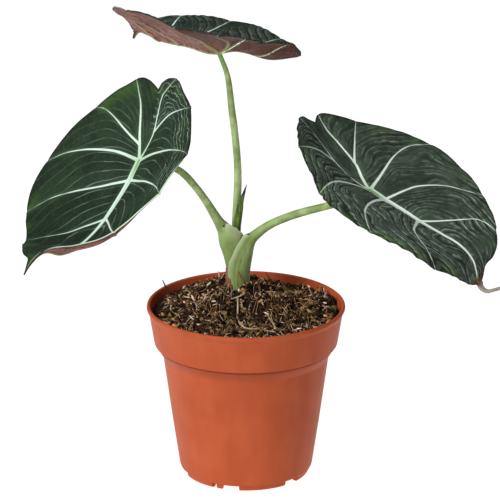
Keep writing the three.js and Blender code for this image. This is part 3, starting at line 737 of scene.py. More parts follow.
# %% Tubes wrapped round a line
def tube_frame(sections, t, wide_start=None):
    """Centre, sideways and depth directions, and half sizes, at each t of a stem."""
    rows = [list(s) + [s[3]] * (5 - len(s)) for s in sections]
    centre = centred_line([r[:3] for r in rows], t)
    size = uniform_line([r[3:] for r in rows], t)
    ahead = centred_line([r[:3] for r in rows], np.minimum(t + 1e-3, 1))
    behind = centred_line([r[:3] for r in rows], np.maximum(t - 1e-3, 0))
    along = (ahead - behind) / np.linalg.norm(ahead - behind, axis=1)[:, None]
    wide = np.cross(along, wide_start if wide_start is not None else [0, 1, 0])
    wide /= np.linalg.norm(wide, axis=1)[:, None]
    return centre, wide, np.cross(along, wide), size


def tube(name, sections, sides, rings, wide_start=None, swell=None):
    """A closed stem. swell(angle, t, centre) adds to its radius, in millimetres."""
    def shape(s, t):
        centre, wide, deep, size = tube_frame(sections, t, wide_start)
        angle = 2 * math.pi * s
        extra = swell(angle, t, centre) if swell else np.zeros(len(s))
        across = wide * ((size[:, 0] + extra) * np.cos(angle))[:, None]
        return (centre + across + deep * ((size[:, 1] + extra) * np.sin(angle))[:, None]) * MM

    piece = grid(name, sides, rings, shape)
    edit(
        piece,
        lambda: bpy.ops.mesh.remove_doubles(threshold=0.002 * MM),
        lambda: bpy.ops.mesh.fill_holes(sides=0),
        lambda: bpy.ops.mesh.normals_make_consistent(inside=False),
    )
    shade_smooth(piece, 60)
    return piece


# %% [markdown]
# ## The blades, drawn flat
# A blade is drawn flat first: u runs from the petiole to the tip, v from the midrib to the margin. The
# margin and the main ribs divide each half into sectors, like the panels of an umbrella. Every sector is a
# grid between two ribs, and a Coons patch fits it to its four border lines. The flat drawing is then bent
# by the same few angles as the solid in the frame, so the fine blade keeps its form.

# %% Numbers of the three leaves
# "at" is where the petiole meets the blade, and heading, pitch and roll turn the whole blade there. "bends"
# are (from u, degrees per 100 mm) along the midrib. "lobe_rise" lifts the back lobes, "folds" and "curls"
# raise and roll the two halves, and "twist" and "fan" change the roll and the folds along u. A bulge is
# (u, v, radius, height), and all lines are (u, v) in millimetres.
BLADE = {"thickness": 0.9, "quilt": 1.5, "rib": 0.9, "crease": 2.0}
LEAVES = {
    "leaf_left": {
        "at": (-57, -14, 182), "heading": 235, "pitch": -49, "roll": 17,
        "bends": [(0, 53), (47, 115), (87, -259)],
        "lobe_rise": 70, "folds": (15, 18), "curls": (2, -10), "twist": 2, "fan": 0,
        "bulges": [(36, 38, 13, -1.6), (54, 28, 14, -3.4), (70, 16, 13, -4), (84, 6, 9, -2)],
        "left": {
            "margin": [(-40, 0), (-45, 4), (-49, 13), (-50, 25), (-45, 34), (-37, 44), (-20, 54),
                       (-4, 59), (14, 57), (30, 53), (45, 47), (58, 37.5), (70, 26.3), (80, 16.5),
                       (88, 9), (96, 4.5), (104, 2.5), (110, 1), (115, 0)],
            "lobe": [(0, 0), (-14, 4.5), (-27, 3.8), (-37, 5), (-44, 12), (-48, 20)],
            "branch": [(-17, 4.6), (-27, 17), (-32.5, 31), (-36, 44)],
            "forks": [[(-36, 4.8), (-41, 4.2), (-46, 5.5)]],
            "sides": [[(0, 0), (-2.5, 9), (-4, 20), (-4.5, 35), (-2, 50), (2, 58)],
                      [(12, 0), (14, 10), (17, 23), (24, 38), (36, 52)],
                      [(39, 0), (45, 8), (53, 16), (62, 25), (71, 33)]],
        },
        "right": {
            "margin": [(-40, 0), (-44, 8), (-44, 14), (-39, 21), (-34, 28), (-23, 40), (-9, 52), (9, 60),
                       (24, 60), (38, 55), (50, 46.9), (61, 37.6), (72, 29.7), (86, 21), (97.7, 12.5),
                       (102, 8.7), (104.7, 3.7), (110, 1.2), (115, 0)],
            "lobe": [(0, 0), (-9, 4), (-17, 7), (-30, 10.5), (-36, 13), (-43, 16)],
            "branch": [(-9, 4), (-14, 14), (-21.5, 27), (-24, 34), (-24, 40)],
            "sides": [[(0, 0), (-1, 5), (-2.5, 18), (-0.5, 36), (3.5, 50), (9, 60)],
                      [(12, 0), (16, 9), (20, 17.5), (25.5, 31), (32, 43), (42, 52)],
                      [(39, 0), (47.5, 9), (55, 15.5), (62.5, 25), (70, 31)]],
        },
    },
    "leaf_right": {
        "at": (66, -22, 168), "heading": 322, "pitch": -19, "roll": -6,
        "bends": [(0, 7), (56, -160), (66, -370), (79, 0), (84.5, 950), (95.5, 0)],
        "lobe_rise": 86, "folds": (16, 14), "curls": (2, -7), "twist": 7, "fan": 0, "bulges": [],
        "midrib": (2.9, 2.5, 1.9, 1.3, 0.7, 0.15),
        "left": {
            "margin": [(-49, 0), (-52, 4), (-52, 9), (-47, 19), (-41, 28), (-32, 40), (-20, 51),
                       (-5, 57), (8, 56), (21.8, 51.5), (32.8, 48.3), (46.5, 40.6), (58.8, 31.8),
                       (66, 24.8), (71.2, 19.3), (75.3, 12.9), (76.7, 8.6), (78.7, 5.4), (81.1, 3.2),
                       (84.2, 1.2), (88, 0.4), (104, 0)],
            "lobe": [(0, 0), (-10, 5), (-20, 9.5), (-34, 9), (-43, 6.5), (-51, 5.5)],
            "branch": [(-20, 9.5), (-31, 19.5), (-41, 28)],
            "sides": [[(0, 0), (-5, 15.5), (-11.5, 33.5), (-12, 47), (-5, 57)],
                      [(10, 0), (12, 14), (15, 24), (24, 34), (36, 39), (46, 43)],
                      [(34, 0), (40.8, 7.5), (49.2, 17.5), (54.5, 23), (60.3, 24.5), (67, 24)]],
        },
        "right": {
            "margin": [(-49, 0), (-52, 7), (-55, 15), (-54, 24), (-50, 31), (-38, 37), (-25, 42),
                       (-9, 49), (2, 55), (12, 61), (28, 61), (39.2, 57.3), (53.2, 54), (66, 48.5),
                       (70.9, 40.4), (73.6, 32.4), (76.6, 24.3), (80.5, 16.1), (84.3, 7.6), (86.2, 1.3),
                       (88, 0.4), (104, 0)],
            "bold": 1.25,
            "lobe": [(0, 0), (-13, 3), (-25, 3.5), (-35, 4.5), (-45, 9), (-54, 19)],
            "branch": [(-25, 3.5), (-32, 12), (-36, 24), (-38, 37)],
            "sides": [[(0, 0), (-5.5, 11), (-8.5, 24), (-6, 38), (2, 55)],
                      [(10, 0), (12, 14), (18.5, 32), (28, 45.5), (40, 56)],
                      [(34, 0), (37, 7), (45, 21), (59, 31.5), (70, 41)]],
        },
    },
    "leaf_top": {
        "at": (-14.2, 12, 233.8), "heading": 125.6, "pitch": -9.6, "roll": -7.8,
        "bends": [(0, 14.2), (73, -620)],
        "lobe_rise": 25.7, "folds": (41.4, -5.2), "curls": (-0.7, -15.9), "twist": -11.2, "fan": 15.5,
        "bulges": [(-22, 8, 15, 2.5), (32, 44, 15, -2.4), (50, 26, 15, 1.6), (68, 16, 15, 0.8),
                   (30, 6, 15, 1.7), (-26, 44, 17, -2.6), (6, 56, 15, -0.8), (68, -15, 12, 2.4),
                   (60, 4, 15, -0.4), (-12, -3, 15, 2.2), (-30, -14, 15, -6.2), (-40, 6, 15, 5.6),
                   (-40, -18, 15, 5.7), (0, -28, 15, -3.3), (-24, -30, 15, -1.4)],
        "left": {
            "margin": [(-40, 0), (-45, 6), (-45, 16), (-35, 33.5), (-17, 50), (4, 59), (25, 58),
                       (39.5, 50), (53, 39.5), (63.5, 27.5), (72.5, 14), (77, 5.6), (80, 2.2), (84, 0)],
            "lobe": [(0, 0), (-12, 5), (-24, 9), (-34, 12), (-45, 16)],
            "branch": [(-12, 5), (-26, 15), (-38, 28)],
            "sides": [[(0, 0), (-7, 16), (-16, 31), (-22, 46)],
                      [(38, 0), (29, 17), (20, 34), (13, 50), (11, 60)],
                      [(56, 0), (55, 12), (54, 26), (54, 38)]],
        },
        "right": {
            "margin": [(-40, 0), (-45, 5), (-45, 14), (-35, 27), (-17, 41.5), (4, 49), (25, 48),
                       (39.5, 41.5), (53, 33), (63.5, 23), (72.5, 12.4), (77, 5.2), (80, 2), (84, 0)],
            "lobe": [(0, 0), (-12, 4.5), (-24, 7.5), (-34, 10), (-45, 13)],
            "branch": [(-12, 4.5), (-22, 16.5), (-30, 31)],
            "sides": [[(0, 0), (4, 13), (8, 27), (12, 49)],
                      [(38, 0), (38, 13), (40, 25), (44, 39)],
                      [(56, 0), (59, 9), (65, 21)]],
        },
    },
}


for name, leaf in LEAVES.items():
    print(name, "has", sum(len(leaf[half]["sides"]) + 2 for half in ("left", "right")), "ribs")


# %% Bending the midrib
def arc(slope, bend, length):
    """Along an arc that starts at a slope: how far it runs and how far it rises."""
    if abs(bend) < 1e-9:
        return np.cos(slope) * length, np.sin(slope) * length
    end = slope + bend * length
    return (np.sin(end) - np.sin(slope)) / bend, (np.cos(slope) - np.cos(end)) / bend


def midline(leaf, u):
    """The middle line of a blade at u: along, up, and its slope."""
    back = math.radians(leaf["lobe_rise"]) / 100
    run = np.minimum(u, 0)
    along, up = arc(0.0, back, run)
    slope = back * run
    bends = leaf["bends"] + [(1e9, 0)]
    for (start, degrees), (stop, _) in zip(bends, bends[1:]):
        run = np.clip(u, start, stop) - start
        bend = math.radians(degrees) / 100
        further, higher = arc(slope, bend, run)
        along, up, slope = along + further, up + higher, slope + bend * run
    return along, up, slope


# %% The bent sheet
def turned(x, y, angle):
    """x and y turned by an angle in radians."""
    return x * np.cos(angle) - y * np.sin(angle), x * np.sin(angle) + y * np.cos(angle)


def sheet(leaf, u, v):
    """Where the bent sheet is, for flat u and v, in millimetres."""
    along, up, slope = midline(leaf, u)
    out = np.abs(v)
    place = np.zeros((2, len(u)))
    crease = BLADE["crease"] + np.maximum(0, -0.2 * u)
    soft = np.hypot(out, crease) - crease
    soft += (crease - BLADE["crease"]) * out**2 / (out**2 + 4 * crease**2)
    for k, side in enumerate((v >= 0, v < 0)):
        fold = np.radians(leaf["folds"][k] + leaf["fan"] * u / 100)
        curl = math.radians(leaf["curls"][k]) / 50
        place[0] += np.where(side, arc(fold, curl, out)[0] * (1, -1)[k], 0)
        place[1] += np.where(side, arc(fold, curl, soft)[1], 0)
    y, rise = turned(place[0], place[1], np.radians(leaf["roll"] + leaf["twist"] * u / 100))
    x, z = along - rise * np.sin(slope), up + rise * np.cos(slope)
    x, z = turned(x, z, math.radians(leaf["pitch"]))
    x, y = turned(x, y, math.radians(leaf["heading"]))
    return np.c_[x, y, z] + np.array(leaf["at"])


def sheet_normal(leaf, u, v, step=0.5):
    """The way that the upper face looks."""
    across = np.cross(sheet(leaf, u + step, v) - sheet(leaf, u - step, v),
                      sheet(leaf, u, v + step) - sheet(leaf, u, v - step))
    return across / np.linalg.norm(across, axis=1)[:, None]


def bulge(leaf, u, v):
    """Soft swellings of the whole sheet, each (u, v, radius, height)."""
    swollen = (h * np.exp(-((u - a) ** 2 + (v - b) ** 2) / r**2) for a, b, r, h in leaf["bulges"])
    return sum(swollen, np.zeros(len(u)))


for name, leaf in LEAVES.items():
    ends = sheet(leaf, np.array([0.0, leaf["left"]["margin"][-1][0]]), np.zeros(2))
    print(name, "runs", round(float(np.linalg.norm(ends[1] - ends[0]))), "mm from the petiole to the tip")


# %% [markdown]
# ## Sectors, quilting and veins
# The velvet leaf is quilted: between two ribs it swells, and inside that swelling each finer vein lies in
# its own little furrow, so the surface looks pleated from the midrib to the margin. Main veins are wide and
# pale at the petiole and thin out towards the margin. For each point we keep how far it lies outside the
# nearest main vein, and how far from the margin, and the finish draws the veins from those two numbers.

# %% Lines to draw the sectors with
def evenly(points):
    """A line through the points that is followed at an even pace."""
    steps = np.linspace(0, 1, 201)
    legs = np.linalg.norm(np.diff(uniform_line(points, steps), axis=0), axis=1)
    run = np.r_[0, np.cumsum(legs)]
    return lambda t: uniform_line(points, np.interp(np.asarray(t, float) * run[-1], run, steps))


def nearest(line, point, steps=400):
    """How far along the line its nearest place to the point is."""
    t = np.linspace(0, 1, steps + 1)
    return t[np.argmin(np.linalg.norm(line(t) - np.array(point, float), axis=1))]


def mixed(a, b, t):
    """The number at t of the way from a to b."""
    return a + (b - a) * np.asarray(t, float)


def fixed(point):
    """A line that stays at one point."""
    return lambda s: np.tile(np.array(point, float), (len(np.asarray(s)), 1))


def level(a, b):
    """The stretch of the midrib from a to b."""
    return lambda s: np.c_[mixed(a, b, s), np.zeros(len(s))]


# %% Sectors of one half
LOBE_PART = 0.35  # share of the lobe sector's way out at which the lobe rib forks


def sectors(half):
    """The sectors of one half, each as its two ribs, the line at their feet and the piece of margin."""
    def margin(t):
        return uniform_line(half["margin"], t)

    def rim(a, b):
        return lambda s: margin(mixed(a, b, s))

    tip, notch = half["margin"][-1][0], half["margin"][0][0]
    ends, ribs = [], []
    for line in [half["lobe"], half["branch"], *half["sides"]]:
        ends.append(nearest(margin, line[-1]))
        ribs.append(evenly([*line[:-1], tuple(margin(ends[-1]))]))
    lobe, branch, *sides = ribs
    fork = nearest(lobe, half["branch"][0], 200)

    def lobe_line(t):
        past_fork = mixed(fork, 1, (t - LOBE_PART) / (1 - LOBE_PART))
        return lobe(np.where(t < LOBE_PART, fork * t / LOBE_PART, past_fork))

    feet = [line[0][0] for line in half["sides"]]
    found = [
        (level(0, notch), lobe_line, fixed((0, 0)), rim(0, ends[0])),
        (lambda t: lobe(mixed(fork, 1, t)), branch, fixed(lobe(np.array([fork]))[0]), rim(ends[0], ends[1])),
        (branch, sides[0], lambda s: lobe(fork * (1 - s)), rim(ends[1], ends[2])),
    ]
    for k in (0, 1):
        found.append((sides[k], sides[k + 1], level(feet[k], feet[k + 1]), rim(ends[k + 2], ends[k + 3])))
    found.append((sides[2], fixed((tip, 0)), level(feet[2], tip), rim(ends[4], 1)))
    return found, ribs


def coons(sector, s, t, rim_pull=1):
    """The point at s between the ribs and t of the way out; a high rim_pull keeps the rim's bends near it."""
    first, second, base, rim = sector
    s2, t2 = s[:, None], t[:, None]

    def pull(line):
        return line(s) - line(0 * s) * (1 - s2) - line(0 * s + 1) * s2

    return first(t) * (1 - s2) + second(t) * s2 + pull(base) * (1 - t2) + pull(rim) * t2**rim_pull


print("sectors of a half:", len(sectors(LEAVES["leaf_left"]["left"])[0]))


# %% Swelling and pleats between the ribs
# Pairs in brackets are for the left half and the right half, as seen from the petiole.
LOOKS = {
    "leaf_left": {
        "pleats": 4, "depth": 0.12, "wander": 0.45, "age": 0.0, "ripple": (0.4, 0.4), "far_ripple": 0,
        "fresh": (0.3, 0.3), "under_shade": 0.5, "lobe_under_shade": 0, "margin_highlight": 1.0,
        "squiggle": 1, "deep": 0, "dry_tip": 0},
    "leaf_right": {
        "pleats": 3.6, "depth": 1.0, "wander": 1.1, "age": 1.0, "ripple": (0.25, 1.0), "far_ripple": 0.5,
        "fresh": (0.25, 1.0), "under_shade": 0, "lobe_under_shade": 0, "margin_highlight": 0,
        "squiggle": 0, "deep": 0, "dry_tip": 1},
    "leaf_top": {
        "pleats": 6.0, "depth": 0.5, "wander": 1.3, "age": 0.9, "ripple": (0.75, 0.75), "far_ripple": 0,
        "fresh": (0, 0), "under_shade": 0, "lobe_under_shade": 1, "margin_highlight": 0.6,
        "squiggle": 0, "deep": 1, "dry_tip": 0},
}


def noise_at(u, v, size_mm, layer):
    """A soft random number for each flat point, from -1 to 1."""
    return np.array([noise.noise(Vector((a / size_mm, b / size_mm, layer))) for a, b in zip(u, v)])


def by_half(pair, v):
    """The pair's first number on the left half and its second on the right."""
    return np.where(v < 0, pair[1], pair[0])


def rippled(looks, u, v):
    """How rippled a place is, from 0 to 1: most on the lower half and near the tip of an old blade."""
    base = by_half(looks["ripple"], v) + looks["far_ripple"] * np.clip((u - 20) / 35, 0, 1)
    return np.clip(base * (1 + 1.4 * noise_at(u, v, 15, 9.1)), 0.05, 1)


def pleat_place(looks, s, t, u, v):
    """Which pleat a point is in: furrows start on the rib nearer the petiole and lean towards the other."""
    bow = 0.4 * np.sin(3.1 * t + 2 * s)
    wander = noise_at(u, v, 17, 2.4) + 0.1 * noise_at(u, v, 5, 7.7)
    return looks["pleats"] * (s - 0.5 * t * t) + bow + looks["wander"] * wander


def swelling(kind, s, t, wide):
    """The pillow between two ribs, in millimetres."""
    if kind == "web":
        return 0 * s
    rise = (1 - np.exp(-7 * t)) * (1 - 0.35 * t) * np.minimum(1, wide / 18)
    return BLADE["quilt"] * np.sin(math.pi * s) * rise * (0.7 * (1 - s) if kind == "tip" else 1)


def pleat_relief(kind, place, s, t, wide, depth):
    """Each pleat is a rounded ridge with a sharp furrow on either side, and dies out at the ribs."""
    if kind == "web":
        return 0 * s
    fade = np.sin(math.pi * np.clip(s, 0, 1)) ** 0.5 * (1 - np.exp(-6 * t)) * np.minimum(1, wide / 14)
    if kind == "tip":
        fade = fade * (1 - 0.6 * s)
    return depth * fade * (np.abs(np.cos(math.pi * place)) - 0.5)


# %% How far a point is from the veins and the margin
# Half widths in millimetres: the midrib's at shares of the way to the tip, and each rib's at its foot.
MIDRIB = (2.2, 2.05, 1.8, 1.25, 0.65, 0.15)
MIDRIB_SHARES = (0, 0.1, 0.25, 0.42, 0.75, 1)
RIBS = (0.95, 0.7, 0.95, 0.85, 0.75, 0.3)
AT_ONCE = 2000


def vein_samples(leaf):
    """Points along all main veins, each with the vein's half width and the share of the way along it."""
    samples = []
    for side, half in ((1, leaf["left"]), (-1, leaf["right"])):
        _, ribs = sectors(half)
        forks = [evenly(line) for line in half.get("forks", [])]
        for width, rib in zip(RIBS, [*ribs, *forks]):
            t = np.linspace(0, 1, 90)
            p = rib(t)
            wide = width * half.get("bold", 1.0) * (1 - 0.72 * t**0.8 + 0.25 * np.exp(-14 * t))
            samples.append(np.c_[p[:, 0], side * p[:, 1], wide, t])
    tip = leaf["left"]["margin"][-1][0]
    t = np.linspace(0, 1, 220)
    wide = np.interp(t, MIDRIB_SHARES, leaf.get("midrib", MIDRIB))
    samples.append(np.c_[t * tip, 0 * t, wide, t])
    return np.vstack(samples)


def vein_distance(leaf, u, v):
    """Millimetres outside the edge of the nearest main vein, and the share of the way along that vein."""
    samples = vein_samples(leaf)
    gap, share = np.empty(len(u)), np.empty(len(u))
    for k in range(0, len(u), AT_ONCE):
        some = slice(k, k + AT_ONCE)
        away = np.hypot(u[some, None] - samples[:, 0], v[some, None] - samples[:, 1]) - samples[:, 2]
        best = np.argmin(away, axis=1)
        gap[some] = away[np.arange(len(best)), best]
        share[some] = samples[best, 3]
    return gap, share


def margin_distance(leaf, u, v):
    """Millimetres from the margin of either half."""
    rims = []
    for side, half in ((1, leaf["left"]), (-1, leaf["right"])):
        p = uniform_line(half["margin"], np.linspace(0, 1, 500))
        rims.append(np.c_[p[:, 0], side * p[:, 1]])
    rim = np.vstack(rims)
    gap = np.empty(len(u))
    for k in range(0, len(u), AT_ONCE):
        some = slice(k, k + AT_ONCE)
        gap[some] = np.hypot(u[some, None] - rim[:, 0], v[some, None] - rim[:, 1]).min(axis=1)
    return gap


for name, leaf in LEAVES.items():
    print(name, "has", len(vein_samples(leaf)), "vein samples")

# %% [markdown]
# ## From flat sectors to a blade
# Each sector starts as a grid primitive and is laid into its place in the flat drawing, with its swelling
# as height. The sectors of both halves are merged into one sheet, the sheet is bent, and a Solidify
# modifier gives it a thickness. On a real leaf the ribs stand out below, so the points of the under face
# near a vein are pushed down.

# %% One sector, still flat
ACROSS, ALONG, WEB_ACROSS = 40, 46, 16
SECTOR_KINDS = ["web", "side", "side", "side", "side", "tip"]
PLEATS_MAP = {"shift": 8, "scale": 32}
STRIPS = 12


def eased(x):
    """Steps that are finer near both ends, where the ribs are."""
    return 0.7 * x + 0.3 * (0.5 - 0.5 * np.cos(math.pi * x))


def corner_points(piece):
    """The vertex at each corner of each face."""
    corners = np.zeros(len(piece.data.loops), int)
    piece.data.loops.foreach_get("vertex_index", corners)
    return corners


def set_uv(piece, layer, values):
    piece.data.uv_layers[layer].data.foreach_set("uv", np.asarray(values, np.float32).ravel())


def flat_sector(name, sector, kind, side, looks, number):
    """One sector with its height as z and two UV maps: its own strip, and which pleat and how far out."""
    piece = grid(name, WEB_ACROSS if kind == "web" else ACROSS, ALONG, lambda s, t: np.c_[s, t, 0 * s])
    start = points_of(piece)
    s, t = eased(start[:, 0]), start[:, 1] ** 1.15
    flat = coons(sector, s, t, 3 if kind == "web" else 1)
    u, v = flat[:, 0], side * flat[:, 1]
    wide = np.linalg.norm(sector[0](t) - sector[1](t), axis=1)
    place = pleat_place(looks, s, t, u, v)
    relief = pleat_relief(kind, place, s, t, wide, looks["depth"] * rippled(looks, u, v))
    move_points(piece, np.c_[u, v, swelling(kind, s, t, wide) + relief])
    corners = corner_points(piece)
    piece.data.uv_layers[0].name = "UVMap"
    piece.data.uv_layers.new(name="Pleats")
    set_uv(piece, "UVMap", np.c_[(number + 0.002 + 0.996 * s) / STRIPS, t][corners])
    set_uv(piece, "Pleats", np.c_[(place + PLEATS_MAP["shift"]) / PLEATS_MAP["scale"], t][corners])
    if np.mean([face.normal.z for face in piece.data.polygons]) < 0:
        edit(piece, bpy.ops.mesh.flip_normals)
    return piece


# %% One flat sheet, its values and its thickness
def flat_blade(name):
    """All sectors of a blade, merged into one flat sheet."""
    leaf, parts = LEAVES[name], []
    for side, half in ((1, leaf["left"]), (-1, leaf["right"])):
        found, _ = sectors(half)
        for kind, sector in zip(SECTOR_KINDS, found):
            parts.append(flat_sector(f"{name}_sector", sector, kind, side, LOOKS[name], len(parts)))
    return edit(join(parts, name), lambda: bpy.ops.mesh.remove_doubles(threshold=0.02))


def keep_leaf_values(piece, looks, u, v, gap, share, edge):
    """The numbers that the finishes of a blade read at each point."""
    along_rim = np.clip((u - 5) / 20, 0, 1) * np.clip((100 - u) / 8, 0, 1)
    values = {
        "vein_gap": gap,
        "vein_share": share,
        "edge_gap": edge,
        "from_node": np.hypot(u, v),
        "age": looks["age"] + 0 * u,
        "ripple": rippled(looks, u, v),
        "deep": looks["deep"] + 0 * u,
        # Painted shade below the blade.
        "under_shade": looks["lobe_under_shade"] * np.clip((-u - 4) / 14, 0, 1) + looks["under_shade"],
        "squiggle": looks["squiggle"] * (v > 0) * np.clip((34 - u) / 15, 0, 1),
        "dry_tip": looks["dry_tip"] * np.clip((u - 79 + 0.15 * v) / 13, 0, 1),
        # A painted highlight along the margin.
        "margin_highlight": looks["margin_highlight"] * (v > 0) * along_rim,
        "fresh": by_half(looks["fresh"], v),
    }
    for name, numbers in values.items():
        keep_value(piece, name, numbers)


def thickened(piece, thickness, offset, material_offset=0):
    """A sheet given a thickness in millimetres by a Solidify modifier."""
    select_only(piece)
    solid = piece.modifiers.new("thickness", "SOLIDIFY")
    solid.thickness = thickness * MM
    solid.offset = offset
    solid.material_offset = material_offset
    bpy.ops.object.modifier_apply(modifier="thickness")


# %% The whole blade
def under_relief(looks, u, gap, share, edge):
    """How far the under face stands out below: raised ribs, a thinner margin and a hair-thin drip tip."""
    ridge = np.where(gap < 0.35, np.sqrt(np.clip(1 - ((gap + 1) / 1.35) ** 2, 0, 1)), 0)
    thin = np.clip(edge / 1.5, 0, 1)
    hair = 0.74 * looks["dry_tip"] * np.clip((u - 81) / 5, 0, 1)
    return BLADE["rib"] * ridge * (1 - 0.6 * share) * thin - np.maximum(0.3 * (1 - thin), hair)


def blade(name, top_finish, under_finish):
    """A finished blade: bent, with its values, its thickness and its two finishes."""
    leaf, looks = LEAVES[name], LOOKS[name]
    piece = flat_blade(name)
    flat = points_of(piece)
    u, v = flat[:, 0], flat[:, 1]
    gap, share = vein_distance(leaf, u, v)
    edge = margin_distance(leaf, u, v)
    up = sheet_normal(leaf, u, v)
    furrow = -0.25 * np.exp(-((np.maximum(gap, 0) / 0.8) ** 2))
    height = flat[:, 2] + bulge(leaf, u, v) + furrow + BLADE["thickness"] / 2
    move_points(piece, (sheet(leaf, u, v) + up * height[:, None]) * MM)
    keep_leaf_values(piece, looks, u, v, gap, share, edge)
    for finish in (top_finish, under_finish):
        piece.data.materials.append(finish)
    thickened(piece, BLADE["thickness"], -1, material_offset=1)
    points = points_of(piece)
    points[len(flat):] -= up * under_relief(looks, u, gap, share, edge)[:, None] * MM
    move_points(piece, points)
    shade_smooth(piece, 60)
    return piece


# %% [markdown]
# ## Velvet above, red below
# The upper face is covered with tiny domed cells that swallow light, so it looks like velvet: nearly black,
# with a grey-green sheen where it turns away. A little sheen gives that, with a fine bump for the nap. The
# colour is built up as a painter would: the skin first, then the furrows and wrinkles with their painted
# shade and painted highlights, then the veins, and last the margin with its painted highlight and the dry
# tip. We start with the numbers that all of these layers share.

# %% What the upper face reads
def pleats_of(finish, width):
    """Whether a point is on a finer vein, in a furrow or on a crest, how far out, and in which pleat."""
    uv = finish.node("ShaderNodeUVMap", {"uv_map": "Pleats"})
    across = finish.node("ShaderNodeSeparateXYZ", None, {0: uv}, "X")
    out = finish.node("ShaderNodeSeparateXYZ", None, {0: uv}, "Y")
    place = across * PLEATS_MAP["scale"] - PLEATS_MAP["shift"]
    away = 0.5 - (place + 0.5).from_middle()
    on_line = away.step(width, 0.0)
    in_furrow = (away - 0.08).math("ABSOLUTE").step(0.15, 0.0)
    on_crest = away.step(0.16, 0.38)
    return on_line, in_furrow, on_crest, out, place


velvet = Finish("leaf_velvet", sheen_weight=0.05, sheen_roughness=0.5, specular_ior_level=0.16)
velvet.shader.inputs["Sheen Tint"].default_value = srgb(150, 180, 160)
patch = velvet.noise(16, detail=3)
nap = velvet.noise(0.35, detail=2)
mottle = velvet.noise(3.2, detail=4, roughness=0.65)
flicker = velvet.noise(4, detail=3).step(0.30, 0.62)
broken = velvet.noise(9, detail=2).step(0.36, 0.60)
age, ripple, fresh = (velvet.value(name) for name in ("age", "ripple", "fresh"))
edge, gap, share = (velvet.value(name) for name in ("edge_gap", "vein_gap", "vein_share"))
lines, furrows, crest_highlights, out, place = pleats_of(velvet, 0.09)

# %% [markdown]
# A young blade is the darkest. As it ages it turns greyer and duller, and patches near the margin stay a
# fresher green. A net of hair-fine veinlets shows through, and beside a main vein the skin is a little
# paler.

# %% Upper face: the dark skin
CELL_MM = 3.4
patchy = patch.step(0.38, 0.64)
young = velvet.mix(patchy, srgb(23, 39, 23), srgb(34, 54, 33))
old = velvet.mix(patchy, srgb(38, 51, 40), srgb(62, 77, 63))
net = velvet.node("ShaderNodeTexVoronoi", {"feature": "DISTANCE_TO_EDGE"},
                  {"Vector": velvet.place(), "Scale": 1 / (CELL_MM * MM)}, "Distance").step(0.07, 0.0)
rim_green = edge.step(9.0, 1.0) * patch.step(0.46, 0.60) * fresh
skin = velvet.glazed(
    velvet.mix(age, young, old),
    (fresh * age * 0.22, srgb(100, 113, 100)),
    (velvet.value("deep") * 0.85, srgb(21, 33, 25)),
    (mottle.step(0.45, 0.75) * 0.3, srgb(50, 68, 50)),
    (net * 0.08, srgb(104, 122, 104)),
    (rim_green * 0.9, srgb(78, 116, 30)),
    (gap.step(2.4, 0.2) * 0.18, srgb(84, 108, 86)),
)
print("nodes for the skin:", len(velvet.tree.nodes))

# %% [markdown]
# The finer veins lie in the furrows. On the young blade they are broken grey-green lines. On the older
# blades the furrows get painted shade and the crests a painted highlight, and the pleats have also wrinkled,
# two finer folds to each, with a painted highlight on one side and a near-black painted shadow on the other.
# Near the lobe of the young blade the last veins wriggle along the margin.

# %% Upper face: furrows and wrinkles with painted shade and highlights, and finer veins
FOLDS_PER_PLEAT = 2.0
fold = place * FOLDS_PER_PLEAT + 0.5 * mottle
wrinkle_highlights = fold.from_middle().step(0.20, 0.02)
wrinkle_shadows = (fold + 0.24).from_middle().step(0.20, 0.02)
wrinkled = ripple * age * (1.0 - 0.65 * velvet.value("deep"))
line_strength = (0.12 + 0.38 * broken) * (1.0 - 0.85 * age) + 0.4 * age * ripple * flicker
line_colour = velvet.mix(out.step(0.30, 0.80), srgb(142, 160, 146), srgb(70, 98, 58))
wriggle = edge / 3.8 + 3.4 * velvet.noise(11, detail=4)
squiggles = wriggle.from_middle().step(0.13, 0.0) * edge.step(25.0, 15.0) * velvet.value("squiggle")
# Painted shade in the furrows and on one side of each wrinkle; painted highlights on the crests and on the
# other side.
pleated = velvet.glazed(
    skin,
    (furrows * ripple * age * 0.9, srgb(14, 18, 14)),
    (crest_highlights * ripple * flicker * age * 0.35, srgb(124, 138, 126)),
    (wrinkle_shadows * wrinkled * 0.85, srgb(10, 15, 10)),
    (wrinkle_highlights * wrinkled * flicker * 0.8, srgb(158, 174, 160)),
    (lines * line_strength, line_colour),
    (squiggles * (0.45 + 0.5 * broken), srgb(140, 160, 142)),
)
print("nodes with the pleats:", len(velvet.tree.nodes))

# %% [markdown]
# Main veins are mint white, greener in the middle and where they all meet at the petiole, and they fade
# towards the margin. The margin is a thin dark rim, on the younger blades with a pale edge outside it that is
# a painted highlight. The drip tip of the old blade has dried out: first olive brown, then pale as straw.

# %% Upper face: main veins, margin and dry tip
centre = gap.step(-0.7, -2.0)
node_green = (0.35 + 0.65 * centre) * velvet.value("from_node").step(14.0, 3.0)
mint = velvet.glazed(
    velvet.mix(share.step(0.55, 1.0), srgb(216, 240, 220), srgb(158, 188, 150)),
    (age * 0.85, srgb(238, 252, 240)),
    (centre * (0.6 - 0.25 * age), srgb(160, 196, 162)),
    (node_green * 0.9, srgb(112, 164, 88)),
)
on_vein = gap.step(0.20, -0.20)
dry = velvet.value("dry_tip")
